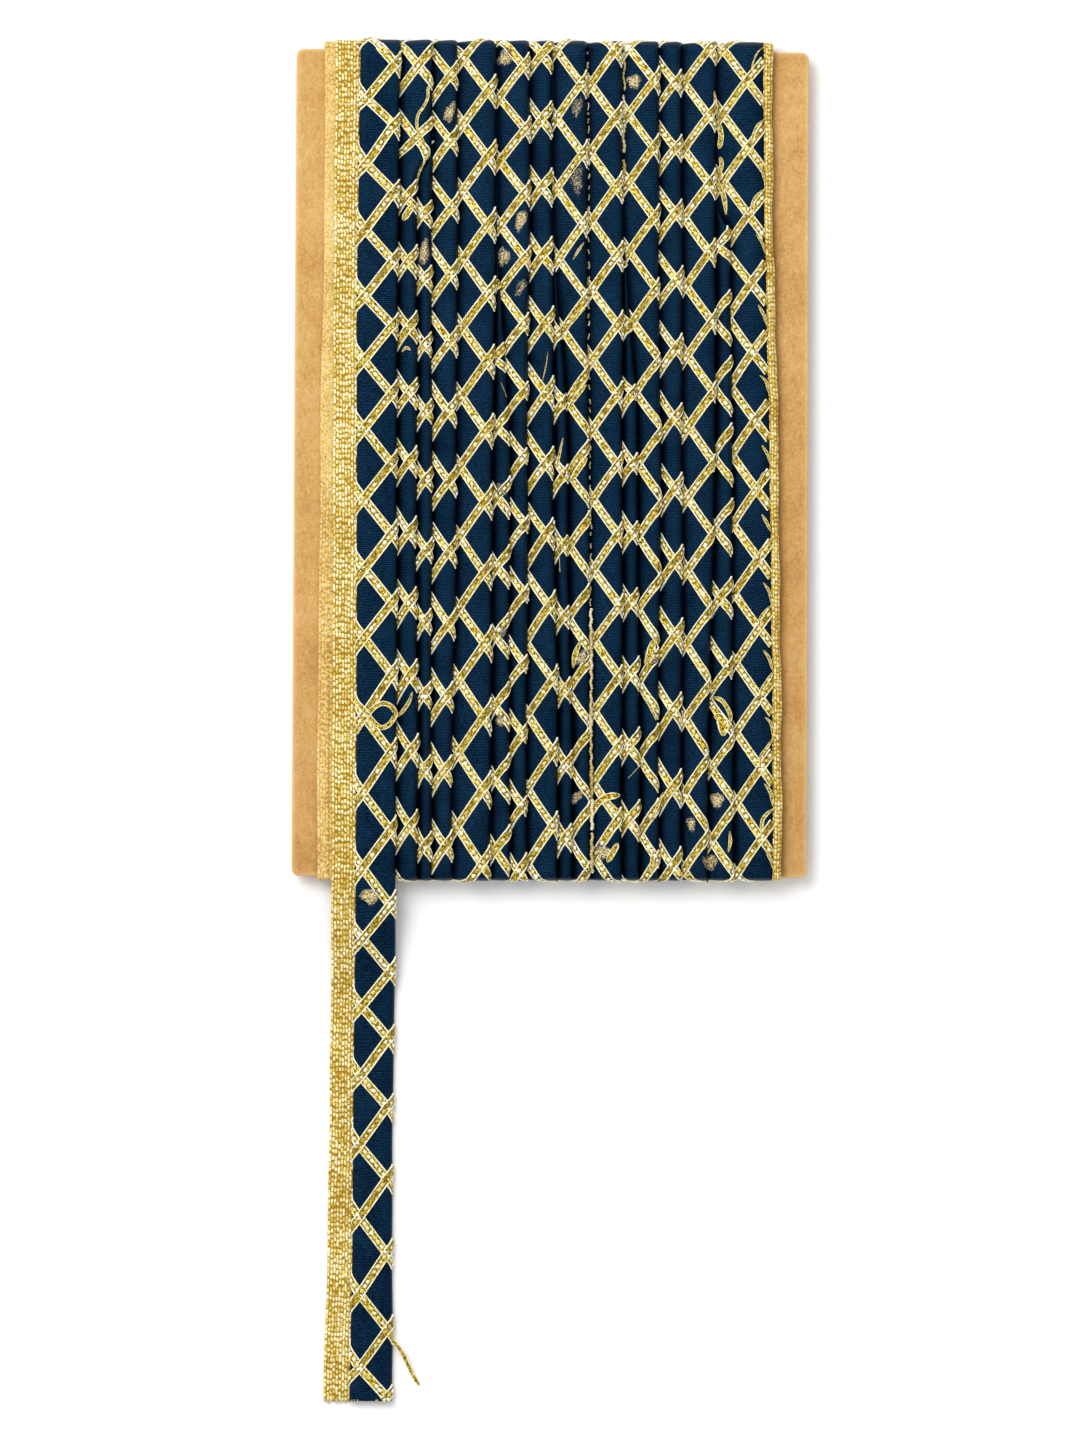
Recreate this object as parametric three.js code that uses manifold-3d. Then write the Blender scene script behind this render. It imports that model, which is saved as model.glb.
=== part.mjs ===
// A flat piping trim, a folded navy strip with a gold woven lip and a gold diamond trellis,
// wound about seventeen times round a kraft card, with its last end lying loose below the card.
// Millimetres. X runs across the turns, Y along them towards the card's top edge, Z up.
// The back of the winding and the loose end lie on the plane Z = 0.
import * as THREE from 'three';
import Module from 'manifold-3d';

const wasm = await Module();
wasm.setup();

// Card
const CARD = { width: 154.2, thickness: 2, top: 201.3, bottom: -46.65, cornerRadius: 2 };
const CARD_GAP = 0.3;

// Winding: heights are distances from the card's face
const BACK_HEIGHT = 3.6;
const FRONT_HEIGHT = 3.9;
const FRONT_UNEVEN = 0.2;
const FIRST_LAYER = 1.3; // what is left of the winding under the last turn
const GROOVE_DEPTH = { front: 2.1, back: 1.3 };
const WINDING_LEFT = -60;
const CARD_MIDDLE_Z = BACK_HEIGHT + CARD.thickness / 2;

// How far the layers bulge past the card's edges, for each mm of height on its face
const EDGE_BULGE = { top: 0.7, bottom: 0.3 };

// Right edge of each turn, in mm from the middle of the card, high, midway and low on the front
const ROW_Y = { high: 156, middle: 75, low: -16 };
const TURNS = [
  { high: -45.6, middle: -46.2, low: -46.4 },
  { high: -40.2, middle: -40.2, low: -39.9 },
  { high: -35.6, middle: -35.6, low: -35.8 },
  { high: -27.9, middle: -28.2, low: -29.5 },
  { high: -17.1, middle: -17.4, low: -18.0 },
  { high: -15.6, middle: -12.3, low: -12.4 },
  { high: -6.3, middle: -6.9, low: -7.2 },
  { high: 0.8, middle: 0.9, low: 2.1 },
  { high: 2.2, middle: 5.1, low: 6.3 },
  { high: 10.8, middle: 11.4, low: 11.7 },
  { high: 21.5, middle: 21.5, low: 21.3 },
  { high: 22.9, middle: 26.1, low: 26.6 },
  { high: 32.4, middle: 33.0, low: 32.3 },
  { high: 39.3, middle: 39.5, low: 39.2 },
  { high: 49.5, middle: 49.2, low: 47.1 },
  { high: 53.4, middle: 54.3, low: 54.6 },
  { high: 63.6, middle: 65.3, low: 66.0 },
];

// Gold lips that show at the two sides of the winding
const LEFT_LIP = { high: -67.9, middle: -69.3, low: -70.2, right: -60.3, height: 1.5 };
const RIGHT_LIP = { width: 3, height: 2.6, gap: 0.3 };

// The last turn and the loose end: its edges at heights Y down its length
const TAIL_ROWS = [
  { y: 204, lipLeft: -64.5, seam: -57.0, right: -45.6 },
  { y: 126, lipLeft: -65.2, seam: -58.2, right: -46.1 },
  { y: 36, lipLeft: -65.4, seam: -58.2, right: -46.2 },
  { y: -48, lipLeft: -65.8, seam: -58.5, right: -46.5 },
  { y: -102, lipLeft: -66.4, seam: -59.3, right: -47.4 },
  { y: -159, lipLeft: -67.2, seam: -59.7, right: -47.7 },
  { y: -204.3, lipLeft: -68.5, seam: -60.5, right: -47.8 },
];
const TAIL_END = -204.3;
const FALL = { start: -45, end: -88 }; // where it comes down from the card to the surface
const SEAM_GAP = 0.3;
const WELT = { base: 1.6, height: 2.5 };
const LIP = { base: 1.8, thickness: 1.1 };

// The trellis on the last turn: where its bands cross, in mm along Y
const LEFT_CROSSINGS = [186, 166.5, 147, 127.2, 108, 87.6, 66.6, 45.6, 24.9, 1.5, -21.6, -44.1,
  -64.7, -85.7, -106.8, -127.5, -149.1, -172.2, -194.3];
const RIGHT_CROSSINGS = [178.5, 158.4, 137.9, 118.6, 98.2, 77.4, 56.4, 35.7, 14.1, -9.5, -32.6, -54.7,
  -74.7, -95.3, -115.8, -137.4, -159.9, -182.7, -203.1];
const BAND = { width: 2.7, lowBottom: 0.3, lowTop: 0.8, highBottom: 0.4, highTop: 1.1 };
const CROSSING_INSET = { left: 1.9, right: 1.1 };
const BAND_OVERHANG = 0.35;

// Interpolation between the rows of a table
const mix = (a, b, t) => a + (b - a) * t;
const clamp01 = (t) => Math.min(1, Math.max(0, t));
const smooth = (t) => t * t * (3 - 2 * t);

function acrossRows(row, y) {
  if (y > ROW_Y.middle) {
    const t = clamp01((y - ROW_Y.middle) / (ROW_Y.high - ROW_Y.middle));
    return mix(row.middle, row.high, smooth(t));
  }
  const t = clamp01((y - ROW_Y.low) / (ROW_Y.middle - ROW_Y.low));
  return mix(row.low, row.middle, smooth(t));
}

function tailValue(name, y) {
  for (let i = 1; i < TAIL_ROWS.length; i += 1) {
    const [above, below] = [TAIL_ROWS[i - 1], TAIL_ROWS[i]];
    if (y >= below.y || i === TAIL_ROWS.length - 1) {
      return mix(below[name], above[name], clamp01((y - below.y) / (above.y - below.y)));
    }
  }
  return TAIL_ROWS[0][name];
}

// Stations of a loop round the card: front going up, top edge, back going down, bottom edge.
// Each one places a height above the card's face, and says how far it is round to the back.
const EDGE_TOP = CARD.top;
const EDGE_BOTTOM = CARD.bottom;

function edgePlace(edgeY, side, bulge, angle) {
  return (height) => {
    const out = CARD_GAP + bulge * (height - CARD_GAP);
    const up = CARD.thickness / 2 + height;
    return [edgeY + side * out * Math.sin(angle), CARD_MIDDLE_Z + up * Math.cos(angle)];
  };
}

function loopStations() {
  const stations = [];
  const faceZ = (side) => (height) => CARD_MIDDLE_Z + side * (CARD.thickness / 2 + height);
  const addFace = (ys, side) => {
    for (const y of ys) {
      const z = faceZ(side);
      stations.push({ y, back: side < 0 ? 1 : 0, place: (height) => [y, z(height)] });
    }
  };
  const addEdge = (degrees, edgeY, side, bulge) => {
    for (const degree of degrees) {
      const place = edgePlace(edgeY, side, bulge, THREE.MathUtils.degToRad(degree));
      stations.push({ y: edgeY, back: degree / 180, place, beyondTop: side > 0 && degree > 100 });
    }
  };
  addFace([EDGE_BOTTOM, -20, 15, 50, 80, 110, 140, 170, EDGE_TOP], 1);
  addEdge([30, 60, 90, 98, 120, 150], EDGE_TOP, 1, EDGE_BULGE.top);
  addFace([EDGE_TOP, 120, 30, EDGE_BOTTOM], -1);
  addEdge([150, 120, 90, 60, 30], EDGE_BOTTOM, -1, EDGE_BULGE.bottom);
  return stations;
}

// A closed solid from sections of equally many [x, y, z] points, joined in a ring or capped
function sweep(sections, ring) {
  const count = sections[0].length;
  const positions = sections.flat(2);
  const triangles = [];
  const last = ring ? sections.length : sections.length - 1;
  for (let i = 0; i < last; i += 1) {
    const here = i * count;
    const next = ((i + 1) % sections.length) * count;
    for (let j = 0; j < count; j += 1) {
      const k = (j + 1) % count;
      triangles.push(here + j, here + k, next + k, here + j, next + k, next + j);
    }
  }
  if (!ring) {
    const end = (sections.length - 1) * count;
    for (let j = 1; j < count - 1; j += 1) {
      triangles.push(0, j + 1, j, end, end + j, end + j + 1);
    }
  }
  return facingOut(positions, triangles);
}

// Turns the triangles round where the solid they enclose would have a negative volume
function facingOut(positions, triangles) {
  const at = (i) => new THREE.Vector3().fromArray(positions, i * 3);
  let volume = 0;
  for (let i = 0; i < triangles.length; i += 3) {
    const [a, b, c] = [at(triangles[i]), at(triangles[i + 1]), at(triangles[i + 2])];
    volume += a.dot(b.cross(c));
  }
  if (volume < 0) {
    for (let i = 0; i < triangles.length; i += 3) {
      [triangles[i], triangles[i + 1]] = [triangles[i + 1], triangles[i]];
    }
  }
  const geometry = new THREE.BufferGeometry();
  geometry.setAttribute('position', new THREE.Float32BufferAttribute(positions, 3));
  geometry.setIndex(triangles);
  return geometry;
}

function cardGeometry() {
  const [x, r] = [CARD.width / 2, CARD.cornerRadius];
  const shape = new THREE.Shape();
  shape.moveTo(-x + r, CARD.bottom);
  shape.lineTo(x - r, CARD.bottom);
  shape.absarc(x - r, CARD.bottom + r, r, -Math.PI / 2, 0);
  shape.absarc(x - r, CARD.top - r, r, 0, Math.PI / 2);
  shape.absarc(-x + r, CARD.top - r, r, Math.PI / 2, Math.PI);
  shape.absarc(-x + r, CARD.bottom + r, r, Math.PI, Math.PI * 1.5);
  const flat = { depth: CARD.thickness, bevelEnabled: false, curveSegments: 5 };
  const geometry = new THREE.ExtrudeGeometry(shape, flat);
  geometry.translate(0, 0, CARD_MIDDLE_Z - CARD.thickness / 2);
  return geometry;
}

// Height of a turn's ridge at a station. The first turn is low in front, under the loose strip.
function ridgeHeight(index, station) {
  const front = FRONT_HEIGHT + FRONT_UNEVEN * Math.sin(index * 2.1);
  if (index > 0) return mix(front, BACK_HEIGHT, station.back);
  if (station.back === 1) {
    const down = clamp01((EDGE_TOP - station.y) / (EDGE_TOP - EDGE_BOTTOM));
    return mix(BACK_HEIGHT, FIRST_LAYER, down);
  }
  return station.beyondTop ? mix(FRONT_HEIGHT, BACK_HEIGHT, station.back) : FIRST_LAYER;
}

// Outline across the winding at a station: a low left shoulder and a full right edge on each turn
function windingSection(station) {
  const outline = [[WINDING_LEFT, CARD_GAP]];
  let left = WINDING_LEFT;
  TURNS.forEach((turn, index) => {
    const right = acrossRows(turn, station.y);
    const width = right - left;
    const height = ridgeHeight(index, station);
    const deepest = mix(GROOVE_DEPTH.front, GROOVE_DEPTH.back, station.back);
    const depth = Math.min(deepest, 0.4 * width, height - FIRST_LAYER + 0.01);
    const shoulder = depth * mix(0.4, 0, station.back);
    const crown = depth * mix(0.12, 0, station.back);
    outline.push([left + 0.06 * width, height - depth]);
    outline.push([left + 0.22 * width, height - shoulder]);
    outline.push([left + 0.62 * width, height]);
    outline.push([left + 0.93 * width, height - crown]);
    left = right;
  });
  outline.push([left, FIRST_LAYER]);
  outline.push([left, CARD_GAP]);
  return outline.map(([x, height]) => [x, ...station.place(height)]);
}

function leftLipSection(station) {
  const left = acrossRows(LEFT_LIP, station.y);
  const { right, height } = LEFT_LIP;
  const outline = [
    [left, CARD_GAP],
    [right, CARD_GAP],
    [right, height],
    [left + 0.4, height],
    [left, height - 0.4],
  ];
  return outline.map(([x, h]) => [x, ...station.place(h)]);
}

function rightLipSection(station) {
  const left = acrossRows(TURNS.at(-1), station.y) + RIGHT_LIP.gap;
  const { width, height } = RIGHT_LIP;
  const outline = [
    [left, CARD_GAP],
    [left + width - 0.5, CARD_GAP],
    [left + width, height * 0.5],
    [left + width * 0.7, height],
    [left + width * 0.25, height],
    [left, height * 0.8],
  ];
  return outline.map(([x, h]) => [x, ...station.place(h)]);
}

// The last turn's way: over the top edge, down the front, off the card and along the surface.
// A station places a height above the strip's underside.
function tailStations(base) {
  const stations = [];
  for (const degree of [92, 75, 55, 30]) {
    const place = edgePlace(EDGE_TOP, 1, EDGE_BULGE.top, THREE.MathUtils.degToRad(degree));
    stations.push({ y: EDGE_TOP, place: (height) => place(base + height) });
  }
  const high = CARD_MIDDLE_Z + CARD.thickness / 2 + base;
  const underside = (y) => high * (1 - smooth(clamp01((FALL.start - y) / (FALL.start - FALL.end))));
  const slope = (y) => (underside(y + 0.5) - underside(y - 0.5));
  const front = [EDGE_TOP, 185, 165, 145, 125, 105, 85, 65, 45, 25, 5, -15, -30];
  const falling = [-45, -50, -55, -60, -65, -70, -75, -80, -88];
  for (const y of [...front, ...falling, -105, -130, -155, -180, TAIL_END]) {
    const tilt = Math.atan(slope(y));
    const place = (height) => [y - height * Math.sin(tilt), underside(y) + height * Math.cos(tilt)];
    stations.push({ y, place });
  }
  return stations;
}

function lipSection(station) {
  const left = tailValue('lipLeft', station.y);
  const right = tailValue('seam', station.y) - SEAM_GAP;
  const { thickness } = LIP;
  const outline = [
    [left, 0],
    [right, 0],
    [right, thickness],
    [left + 0.5, thickness],
    [left, thickness * 0.6],
  ];
  return outline.map(([x, h]) => [x, ...station.place(h)]);
}

// Across the folded strip, from the seam to its rounded fold
function weltTop(width) {
  const { height } = WELT;
  return [
    [0, 1.5],
    [1.2, height * 0.88],
    [width * 0.45, height],
    [width - 2.4, height],
    [width - 0.7, height * 0.84],
    [width, 1.4],
  ];
}

function weltSection(station) {
  const left = tailValue('seam', station.y);
  const width = tailValue('right', station.y) - left;
  const outline = [[width - 0.1, 0.7], [width - 0.9, 0], [0, 0], ...weltTop(width)];
  return outline.map(([x, h]) => [left + x, ...station.place(h)]);
}

// Places a point of the trellis: Y along the strip, x from the seam, height above the strip's top
function onWelt(stations, y, across, lift) {
  let i = 1;
  while (i < stations.length - 1 && stations[i].y > y) i += 1;
  const [above, below] = [stations[i - 1], stations[i]];
  const t = (above.y - y) / (above.y - below.y);
  const left = tailValue('seam', y);
  const width = tailValue('right', y) - left;
  const top = weltTop(width);
  const x = mix(0, width, across.part) + across.extra;
  let k = 1;
  while (k < top.length - 1 && top[k][0] < x) k += 1;
  const s = (x - top[k - 1][0]) / (top[k][0] - top[k - 1][0]);
  const height = mix(top[k - 1][1], top[k][1], s) + lift;
  const [ya, za] = above.place(height);
  const [yb, zb] = below.place(height);
  return [left + x, mix(ya, yb, t), mix(za, zb, t)];
}

// One band, from the seam to the fold, through a left and a right crossing
function band(stations, leftY, rightY, bottom, top) {
  const width = tailValue('right', leftY) - tailValue('seam', leftY);
  const run = width - CROSSING_INSET.left - CROSSING_INSET.right;
  const slope = (rightY - leftY) / run;
  const half = (BAND.width / 2) * Math.hypot(1, slope);
  const steps = [
    { part: 0, extra: 0.2 },
    { part: 0, extra: 1.2 },
    { part: 0.45, extra: 0 },
    { part: 1, extra: -2.4 },
    { part: 1, extra: -0.7 },
    { part: 1, extra: BAND_OVERHANG },
  ];
  const inStrip = (y) => Math.max(TAIL_END, y);
  const sections = steps.map((across) => {
    const x = width * across.part + across.extra;
    const y = leftY + slope * (x - CROSSING_INSET.left);
    return [
      onWelt(stations, inStrip(y - half), across, bottom),
      onWelt(stations, inStrip(y + half), across, bottom),
      onWelt(stations, inStrip(y + half), across, top),
      onWelt(stations, inStrip(y - half), across, top),
    ];
  });
  return toManifold(sweep(sections, false));
}

function toManifold(geometry) {
  const vertProperties = new Float32Array(geometry.attributes.position.array);
  const triVerts = new Uint32Array(geometry.index.array);
  return new wasm.Manifold(new wasm.Mesh({ numProp: 3, vertProperties, triVerts }));
}

function fromManifold(solid) {
  const { vertProperties, triVerts } = solid.getMesh();
  const geometry = new THREE.BufferGeometry();
  geometry.setAttribute('position', new THREE.BufferAttribute(vertProperties, 3));
  geometry.setIndex(new THREE.BufferAttribute(triVerts, 1));
  return geometry;
}

function trellisGeometry() {
  const stations = tailStations(WELT.base).slice(4);
  let net = null;
  const add = (solid) => {
    net = net ? net.add(solid) : solid;
  };
  LEFT_CROSSINGS.forEach((leftY, n) => {
    add(band(stations, leftY, RIGHT_CROSSINGS[n], BAND.lowBottom, BAND.lowTop));
    const higher = n > 0 ? RIGHT_CROSSINGS[n - 1] : leftY + 9;
    add(band(stations, leftY, higher, BAND.highBottom, BAND.highTop));
  });
  return fromManifold(net);
}

const kraft = new THREE.MeshStandardMaterial({ color: 0xd9a560, roughness: 0.85 });
const satin = new THREE.MeshStandardMaterial({ color: 0x10294a, roughness: 0.5 });
const goldWeave = new THREE.MeshStandardMaterial({ color: 0xe0be5c, roughness: 0.45, metalness: 0.3 });
const goldBraid = new THREE.MeshStandardMaterial({ color: 0xd9b64a, roughness: 0.4, metalness: 0.4 });

const group = new THREE.Group();

function addPiece(name, geometry, material) {
  const mesh = new THREE.Mesh(geometry, material.clone());
  mesh.name = name;
  group.add(mesh);
}

const loop = loopStations();
addPiece('card', cardGeometry(), kraft);
addPiece('winding', sweep(loop.map(windingSection), true), satin);
addPiece('under_lip_left', sweep(loop.map(leftLipSection), true), goldWeave);
addPiece('under_lip_right', sweep(loop.map(rightLipSection), true), goldWeave);
addPiece('tail_lip', sweep(tailStations(LIP.base).map(lipSection), false), goldWeave);
addPiece('tail_welt', sweep(tailStations(WELT.base).map(weltSection), false), satin);
addPiece('tail_lattice', trellisGeometry(), goldBraid);

export default group;
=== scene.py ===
"""A gold and navy piping trim wound round a kraft card, with its last end lying loose below it.

The work is done in millimetres in the row frame, and each mesh is made in metres.
"""
import math

import bpy
import numpy as np
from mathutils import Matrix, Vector
from mathutils.bvhtree import BVHTree


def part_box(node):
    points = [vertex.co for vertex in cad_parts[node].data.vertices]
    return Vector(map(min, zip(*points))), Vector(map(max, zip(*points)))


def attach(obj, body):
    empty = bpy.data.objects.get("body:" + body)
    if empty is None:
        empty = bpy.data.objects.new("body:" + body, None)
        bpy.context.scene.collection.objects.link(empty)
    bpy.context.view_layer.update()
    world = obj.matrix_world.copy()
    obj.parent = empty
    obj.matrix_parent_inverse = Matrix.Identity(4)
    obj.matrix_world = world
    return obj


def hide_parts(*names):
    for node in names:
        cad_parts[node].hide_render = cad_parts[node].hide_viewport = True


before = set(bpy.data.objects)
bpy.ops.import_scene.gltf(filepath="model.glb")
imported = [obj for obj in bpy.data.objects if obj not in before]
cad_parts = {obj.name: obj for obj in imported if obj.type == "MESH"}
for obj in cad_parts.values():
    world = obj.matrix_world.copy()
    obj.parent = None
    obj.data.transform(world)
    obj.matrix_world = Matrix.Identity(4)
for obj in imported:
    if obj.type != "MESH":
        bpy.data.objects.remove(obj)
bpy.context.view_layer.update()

MM = 0.001
BODY = "root"
rng = np.random.default_rng(7)

# The photograph's scale, and the pixel that lies over the frame's origin
MM_PER_PX = 0.3
ORIGIN_PX = (551.0, 721.0)
IMAGE_PX = (1086, 1448)

# The card, from the frame
card_low, card_high = (np.array(corner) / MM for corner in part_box("card"))
EDGE_BOTTOM, EDGE_TOP = card_low[1], card_high[1]
CARD_MIDDLE_Z = (card_low[2] + card_high[2]) / 2
HALF_BOARD = (card_high[2] - card_low[2]) / 2
CARD_GAP = 0.3
EDGE_BULGE = {"top": 0.85, "bottom": 0.32}
# Ridges flatten to this height where they turn over the card's edges, above what lies on the board
EDGE_HEIGHT, EDGE_FLAT, FLAT_ABOVE = 3.2, 0.7, CARD_GAP + 0.05

# The loose end leaves the card and comes down to the surface
TAIL_END = -204.3
FALL_START, FALL_END = -45.0, -88.0

# Heights of the columns of the table of turns, in mm above the origin
ROW_HIGH, ROW_MIDDLE, ROW_LOW = 163.0, 75.0, -16.0

# Each turn, from the last wound at the left: its right edge at the three heights, the photo's rows
# of its first and its twelfth right-hand crossing, how far the rows between bow down, and how far
# inside the edge the crossings lie at the three heights
EDGE_COLUMNS = ("high", "middle", "low")
ROW_COLUMNS = ("first", "twelfth", "bow")
INSET_COLUMNS = ("inset_high", "inset_middle", "inset_low")
TURNS = [
    dict(zip(EDGE_COLUMNS + ROW_COLUMNS + INSET_COLUMNS, edges + rows + insets))
    for edges, rows, insets in (
        ((-45.6, -46.2, -46.4), (66.0, 822.0, 0.0), (1.5, 1.5, 1.5)),
        ((-40.0, -40.2, -39.9), (73.0, 826.0, -9.0), (3.0, 2.4, 2.3)),
        ((-35.6, -35.6, -35.8), (89.0, 846.0, -9.0), (2.4, 1.9, 2.2)),
        ((-27.9, -28.2, -29.5), (77.0, 846.0, -2.0), (2.2, 2.4, 2.2)),
        ((-16.4, -17.4, -18.0), (92.0, 864.0, 2.0), (2.5, 2.4, 2.6)),
        ((-16.3, -12.3, -12.4), (92.0, 850.0, 5.0), (1.2, 3.6, 4.3)),
        ((-6.3, -6.9, -7.2), (67.0, 806.0, -1.0), (1.8, 1.0, 1.2)),
        ((0.45, 0.9, 2.1), (55.0, 826.0, 1.0), (3.2, 2.4, 1.7)),
        ((0.5, 5.1, 6.3), (60.0, 838.0, 4.0), (-1.0, 1.3, 2.1)),
        ((10.8, 11.4, 11.7), (84.0, 876.0, 8.0), (1.8, -1.3, -0.8)),
        ((21.5, 21.5, 21.3), (51.0, 819.0, 8.0), (2.2, 1.5, 1.1)),
        ((21.6, 26.1, 26.6), (63.0, 820.0, 1.0), (-1.0, 1.5, 3.2)),
        ((32.4, 33.0, 32.3), (80.0, 871.0, 3.0), (1.9, -0.3, -1.4)),
        ((39.3, 39.5, 39.2), (83.0, 866.0, -7.0), (2.0, 2.3, 2.7)),
        ((49.5, 49.2, 47.1), (49.0, 832.0, 0.0), (2.2, 0.6, -0.3)),
        ((54.0, 54.3, 54.6), (54.0, 804.0, 5.0), (4.6, 6.0, -0.7)),
        ((64.1, 65.9, 66.8), (80.0, 838.0, 9.0), (5.2, 4.4, 3.8)),
    )
]
REPEATS_BETWEEN = 11
# Near the top the second turn lies over the third, and the fifteenth over the sixteenth. "top" is
# the value above the pair of heights.
TURNS[1].update(top=-35.6, inset_top=5.7, top_from=(163.0, 171.0))
TURNS[15].update(top=49.6, inset_top=-1.0, top_from=(146.0, 155.0))
LEFT_LIP = {"high": -67.9, "middle": -69.3, "low": -70.2}
LEFT_LIP_RIGHT = -59.5
RIGHT_LIP = {"high": 63.2, "middle": 65.0, "low": 65.9}
RIGHT_LIP_WIDTH = 3.3

# The last turn and the loose end: edges at heights down its length
TAIL_Y = (TAIL_END, -159.0, -102.0, -48.0, 36.0, 126.0, 204.0)
TAIL_LIP_LEFT = (-68.5, -67.2, -66.4, -65.8, -65.4, -65.2, -64.5)
TAIL_SEAM = (-60.5, -59.7, -59.3, -58.5, -58.2, -58.2, -57.0)
TAIL_RIGHT = (-47.8, -47.7, -47.4, -46.5, -46.2, -46.1, -45.0)

# The photo's rows where the last turn's bands cross at the seam side and at the fold side
LEFT_CROSS_ROWS = (101, 166, 231, 297, 361, 429, 499, 569, 638, 716, 793, 868,
                   936.5, 1006.7, 1077, 1146, 1218, 1295, 1368.6)
RIGHT_CROSS_ROWS = (126, 193, 261.5, 326, 394, 464, 534, 603, 674, 752, 830, 903.4,
                    970, 1038.6, 1107, 1179, 1254, 1330, 1398)
# Rows from the first crossing back to two that the top edge hides, and from the last one to the next
ROWS_BEFORE, ROWS_AFTER = (65.0, 35.0), 36.0

# The strip: its widths, and heights above the board's face
BODY_WIDTH = 12.0
LIP_THICKNESS = 1.0
LOOSE_BASE, BACK_BASE = 1.6, 0.55
WELT_HEIGHT = 2.45
FRONT_LIMIT, BACK_LIMIT = 9.0, 2.8

# A wound turn: its groove, and its fold's foot and reach. The rightmost turn slopes down into the
# rolled edge without folding.
GROOVE = 1.0
LEAST_WIDTH = 0.05
RIDGE_RISE, RIDGE_WIDTH = 2.9, 2.2
SIDE_FOOT, LAST_FOOT = 0.9, 2.1
SIDE_REACH, LAST_REACH = 1.5, 3.4
REACH_SHARE, REACH_LEAST = 0.42, 0.12
# Its slope from the crest to the groove, and how the groove's shade fades
SLOPE_PARTS = (0.08, 0.22, 0.4, 0.58, 0.75, 0.9, 1.0)
SLOPE_POWER = 1.7
SHADE_RUN, SHADE_FADE = 2.1, 1.6
# How far its points under the left neighbour lie beyond the groove, and below it
TUCK = 2.0
TUCKED = ((0.7, 0.25), (TUCK, 0.4))
# Its underside: how far below the groove, and how far it reaches from the right edge or the left one
UNDER_DROP, UNDER_REACH, UNDER_LEAST = 0.62, 2.6, 0.4

# The last turn, whose whole face shows: its slope from the crest to the seam, and the seam's side as
# heights above the base and shades
FACE_PARTS = (0.08, 0.22, 0.4, 0.6, 0.8, 0.95, 1.0)
FACE_FOOT, FACE_REACH = 0.5, 1.3
FACE_CROWN, CROWN_END = 0.10, 0.9
SEAM_DROP, DROP_FROM, SEAM_SHADE = 0.7, 0.93, 0.35
SEAM_GAP, SEAM_UNDER = 0.05, 0.15
SEAM_SIDE = ((0.9, 0.8), (0.5, 1.0))
LAST_INSET, LAST_WAVE = 1.6, 0.8
# How far up the back the strip starts
BACK_START = 70.0

# The trellis: widths of its bands, and what their crossings span across and along the strip
BAND_WIDTH, LAST_BAND_WIDTH = 2.55, 2.75
CROSS_SPAN, LAST_CROSS_SPAN = 7.3, 8.2
PERIOD_MM = 20.7

# Waves in the turns' edges and heights, in the rolled edge and in the left lip: how far, over what
# length, and the shift from turn to turn
EDGE_WAVES = ((0.16, 17.0, 1.9), (0.09, 6.1, 2.7))
HEIGHT_WAVES = ((0.13, 11.0, 1.7), (0.07, 4.3, 0.6))
ROPE_WAVES, ROPE_OUTER_WAVES = ((0.12, 6.3, 0.0), (0.08, 2.1, 0.0)), ((0.14, 5.0, 0.0),)
LIP_WAVES = ((0.1, 9.0, 0.0),)

# The top of the pack drops a little towards the right
TOP_LEAN, LEAN_FROM, LEAN_OVER = -0.0078, 120.0, 80.0

# The repeat, in the photo's pixels, grows down the card
REPEAT_AT_TOP, REPEAT_GROWTH, REPEAT_ROW = 64.5, 0.0125, 60.0


def mix(a, b, t):
    return a + (b - a) * t


def smooth(t):
    t = np.clip(t, 0.0, 1.0)
    return t * t * (3 - 2 * t)


def row_of(y):
    """The photo's row over a height in the frame."""
    return ORIGIN_PX[1] - y / MM_PER_PX


def y_of(row):
    """The height in the frame under a row of the photo."""
    return (ORIGIN_PX[1] - row) * MM_PER_PX


def photo_point(column, row):
    return np.array([(column - ORIGIN_PX[0]) * MM_PER_PX, y_of(row)])


def run_along(x, y):
    """How far along a line each of its points lies."""
    return np.concatenate([[0.0], np.cumsum(np.hypot(np.diff(x), np.diff(y)))])


def unit(vectors):
    return vectors / np.maximum(np.linalg.norm(vectors, axis=-1, keepdims=True), 1e-9)


def across_rows(row, y, kind=""):
    """A value of a row that is given at three heights, or at four where it has a top one."""
    high, middle, low = row[kind + "high"], row[kind + "middle"], row[kind + "low"]
    if kind + "top" in row and y > row["top_from"][0]:
        start, end = row["top_from"]
        return float(mix(high, row[kind + "top"], smooth((y - start) / (end - start))))
    if y > ROW_MIDDLE:
        return float(mix(middle, high, smooth((y - ROW_MIDDLE) / (ROW_HIGH - ROW_MIDDLE))))
    return float(mix(low, middle, smooth((y - ROW_LOW) / (ROW_MIDDLE - ROW_LOW))))


def waves(terms, y, index=0):
    """Nothing wound by hand is quite straight or even."""
    return sum(amount * math.sin(y / length + index * shift) for amount, length, shift in terms)


def right_edge(index, y):
    if index == 0:
        return tail_value(TAIL_RIGHT, y)
    return across_rows(TURNS[index], y) + waves(EDGE_WAVES, y, index)


def tail_value(column, y):
    return float(np.interp(y, TAIL_Y, column))


# Places round the card. A place puts a height above the board's face at a point (y, z).
def face_place(y, side):
    return lambda height: (y, CARD_MIDDLE_Z + side * (HALF_BOARD + height))


def edge_place(edge, angle):
    side = 1 if edge == "top" else -1
    y_edge = EDGE_TOP if edge == "top" else EDGE_BOTTOM
    bulge = EDGE_BULGE[edge]

    def place(height):
        height = mix(height, EDGE_HEIGHT, EDGE_FLAT * math.sin(angle) * (height > FLAT_ABOVE))
        out = CARD_GAP + bulge * (height - CARD_GAP)
        up = HALF_BOARD + height
        return (y_edge + side * out * math.sin(angle), CARD_MIDDLE_Z + up * math.cos(angle))

    return place


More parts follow.
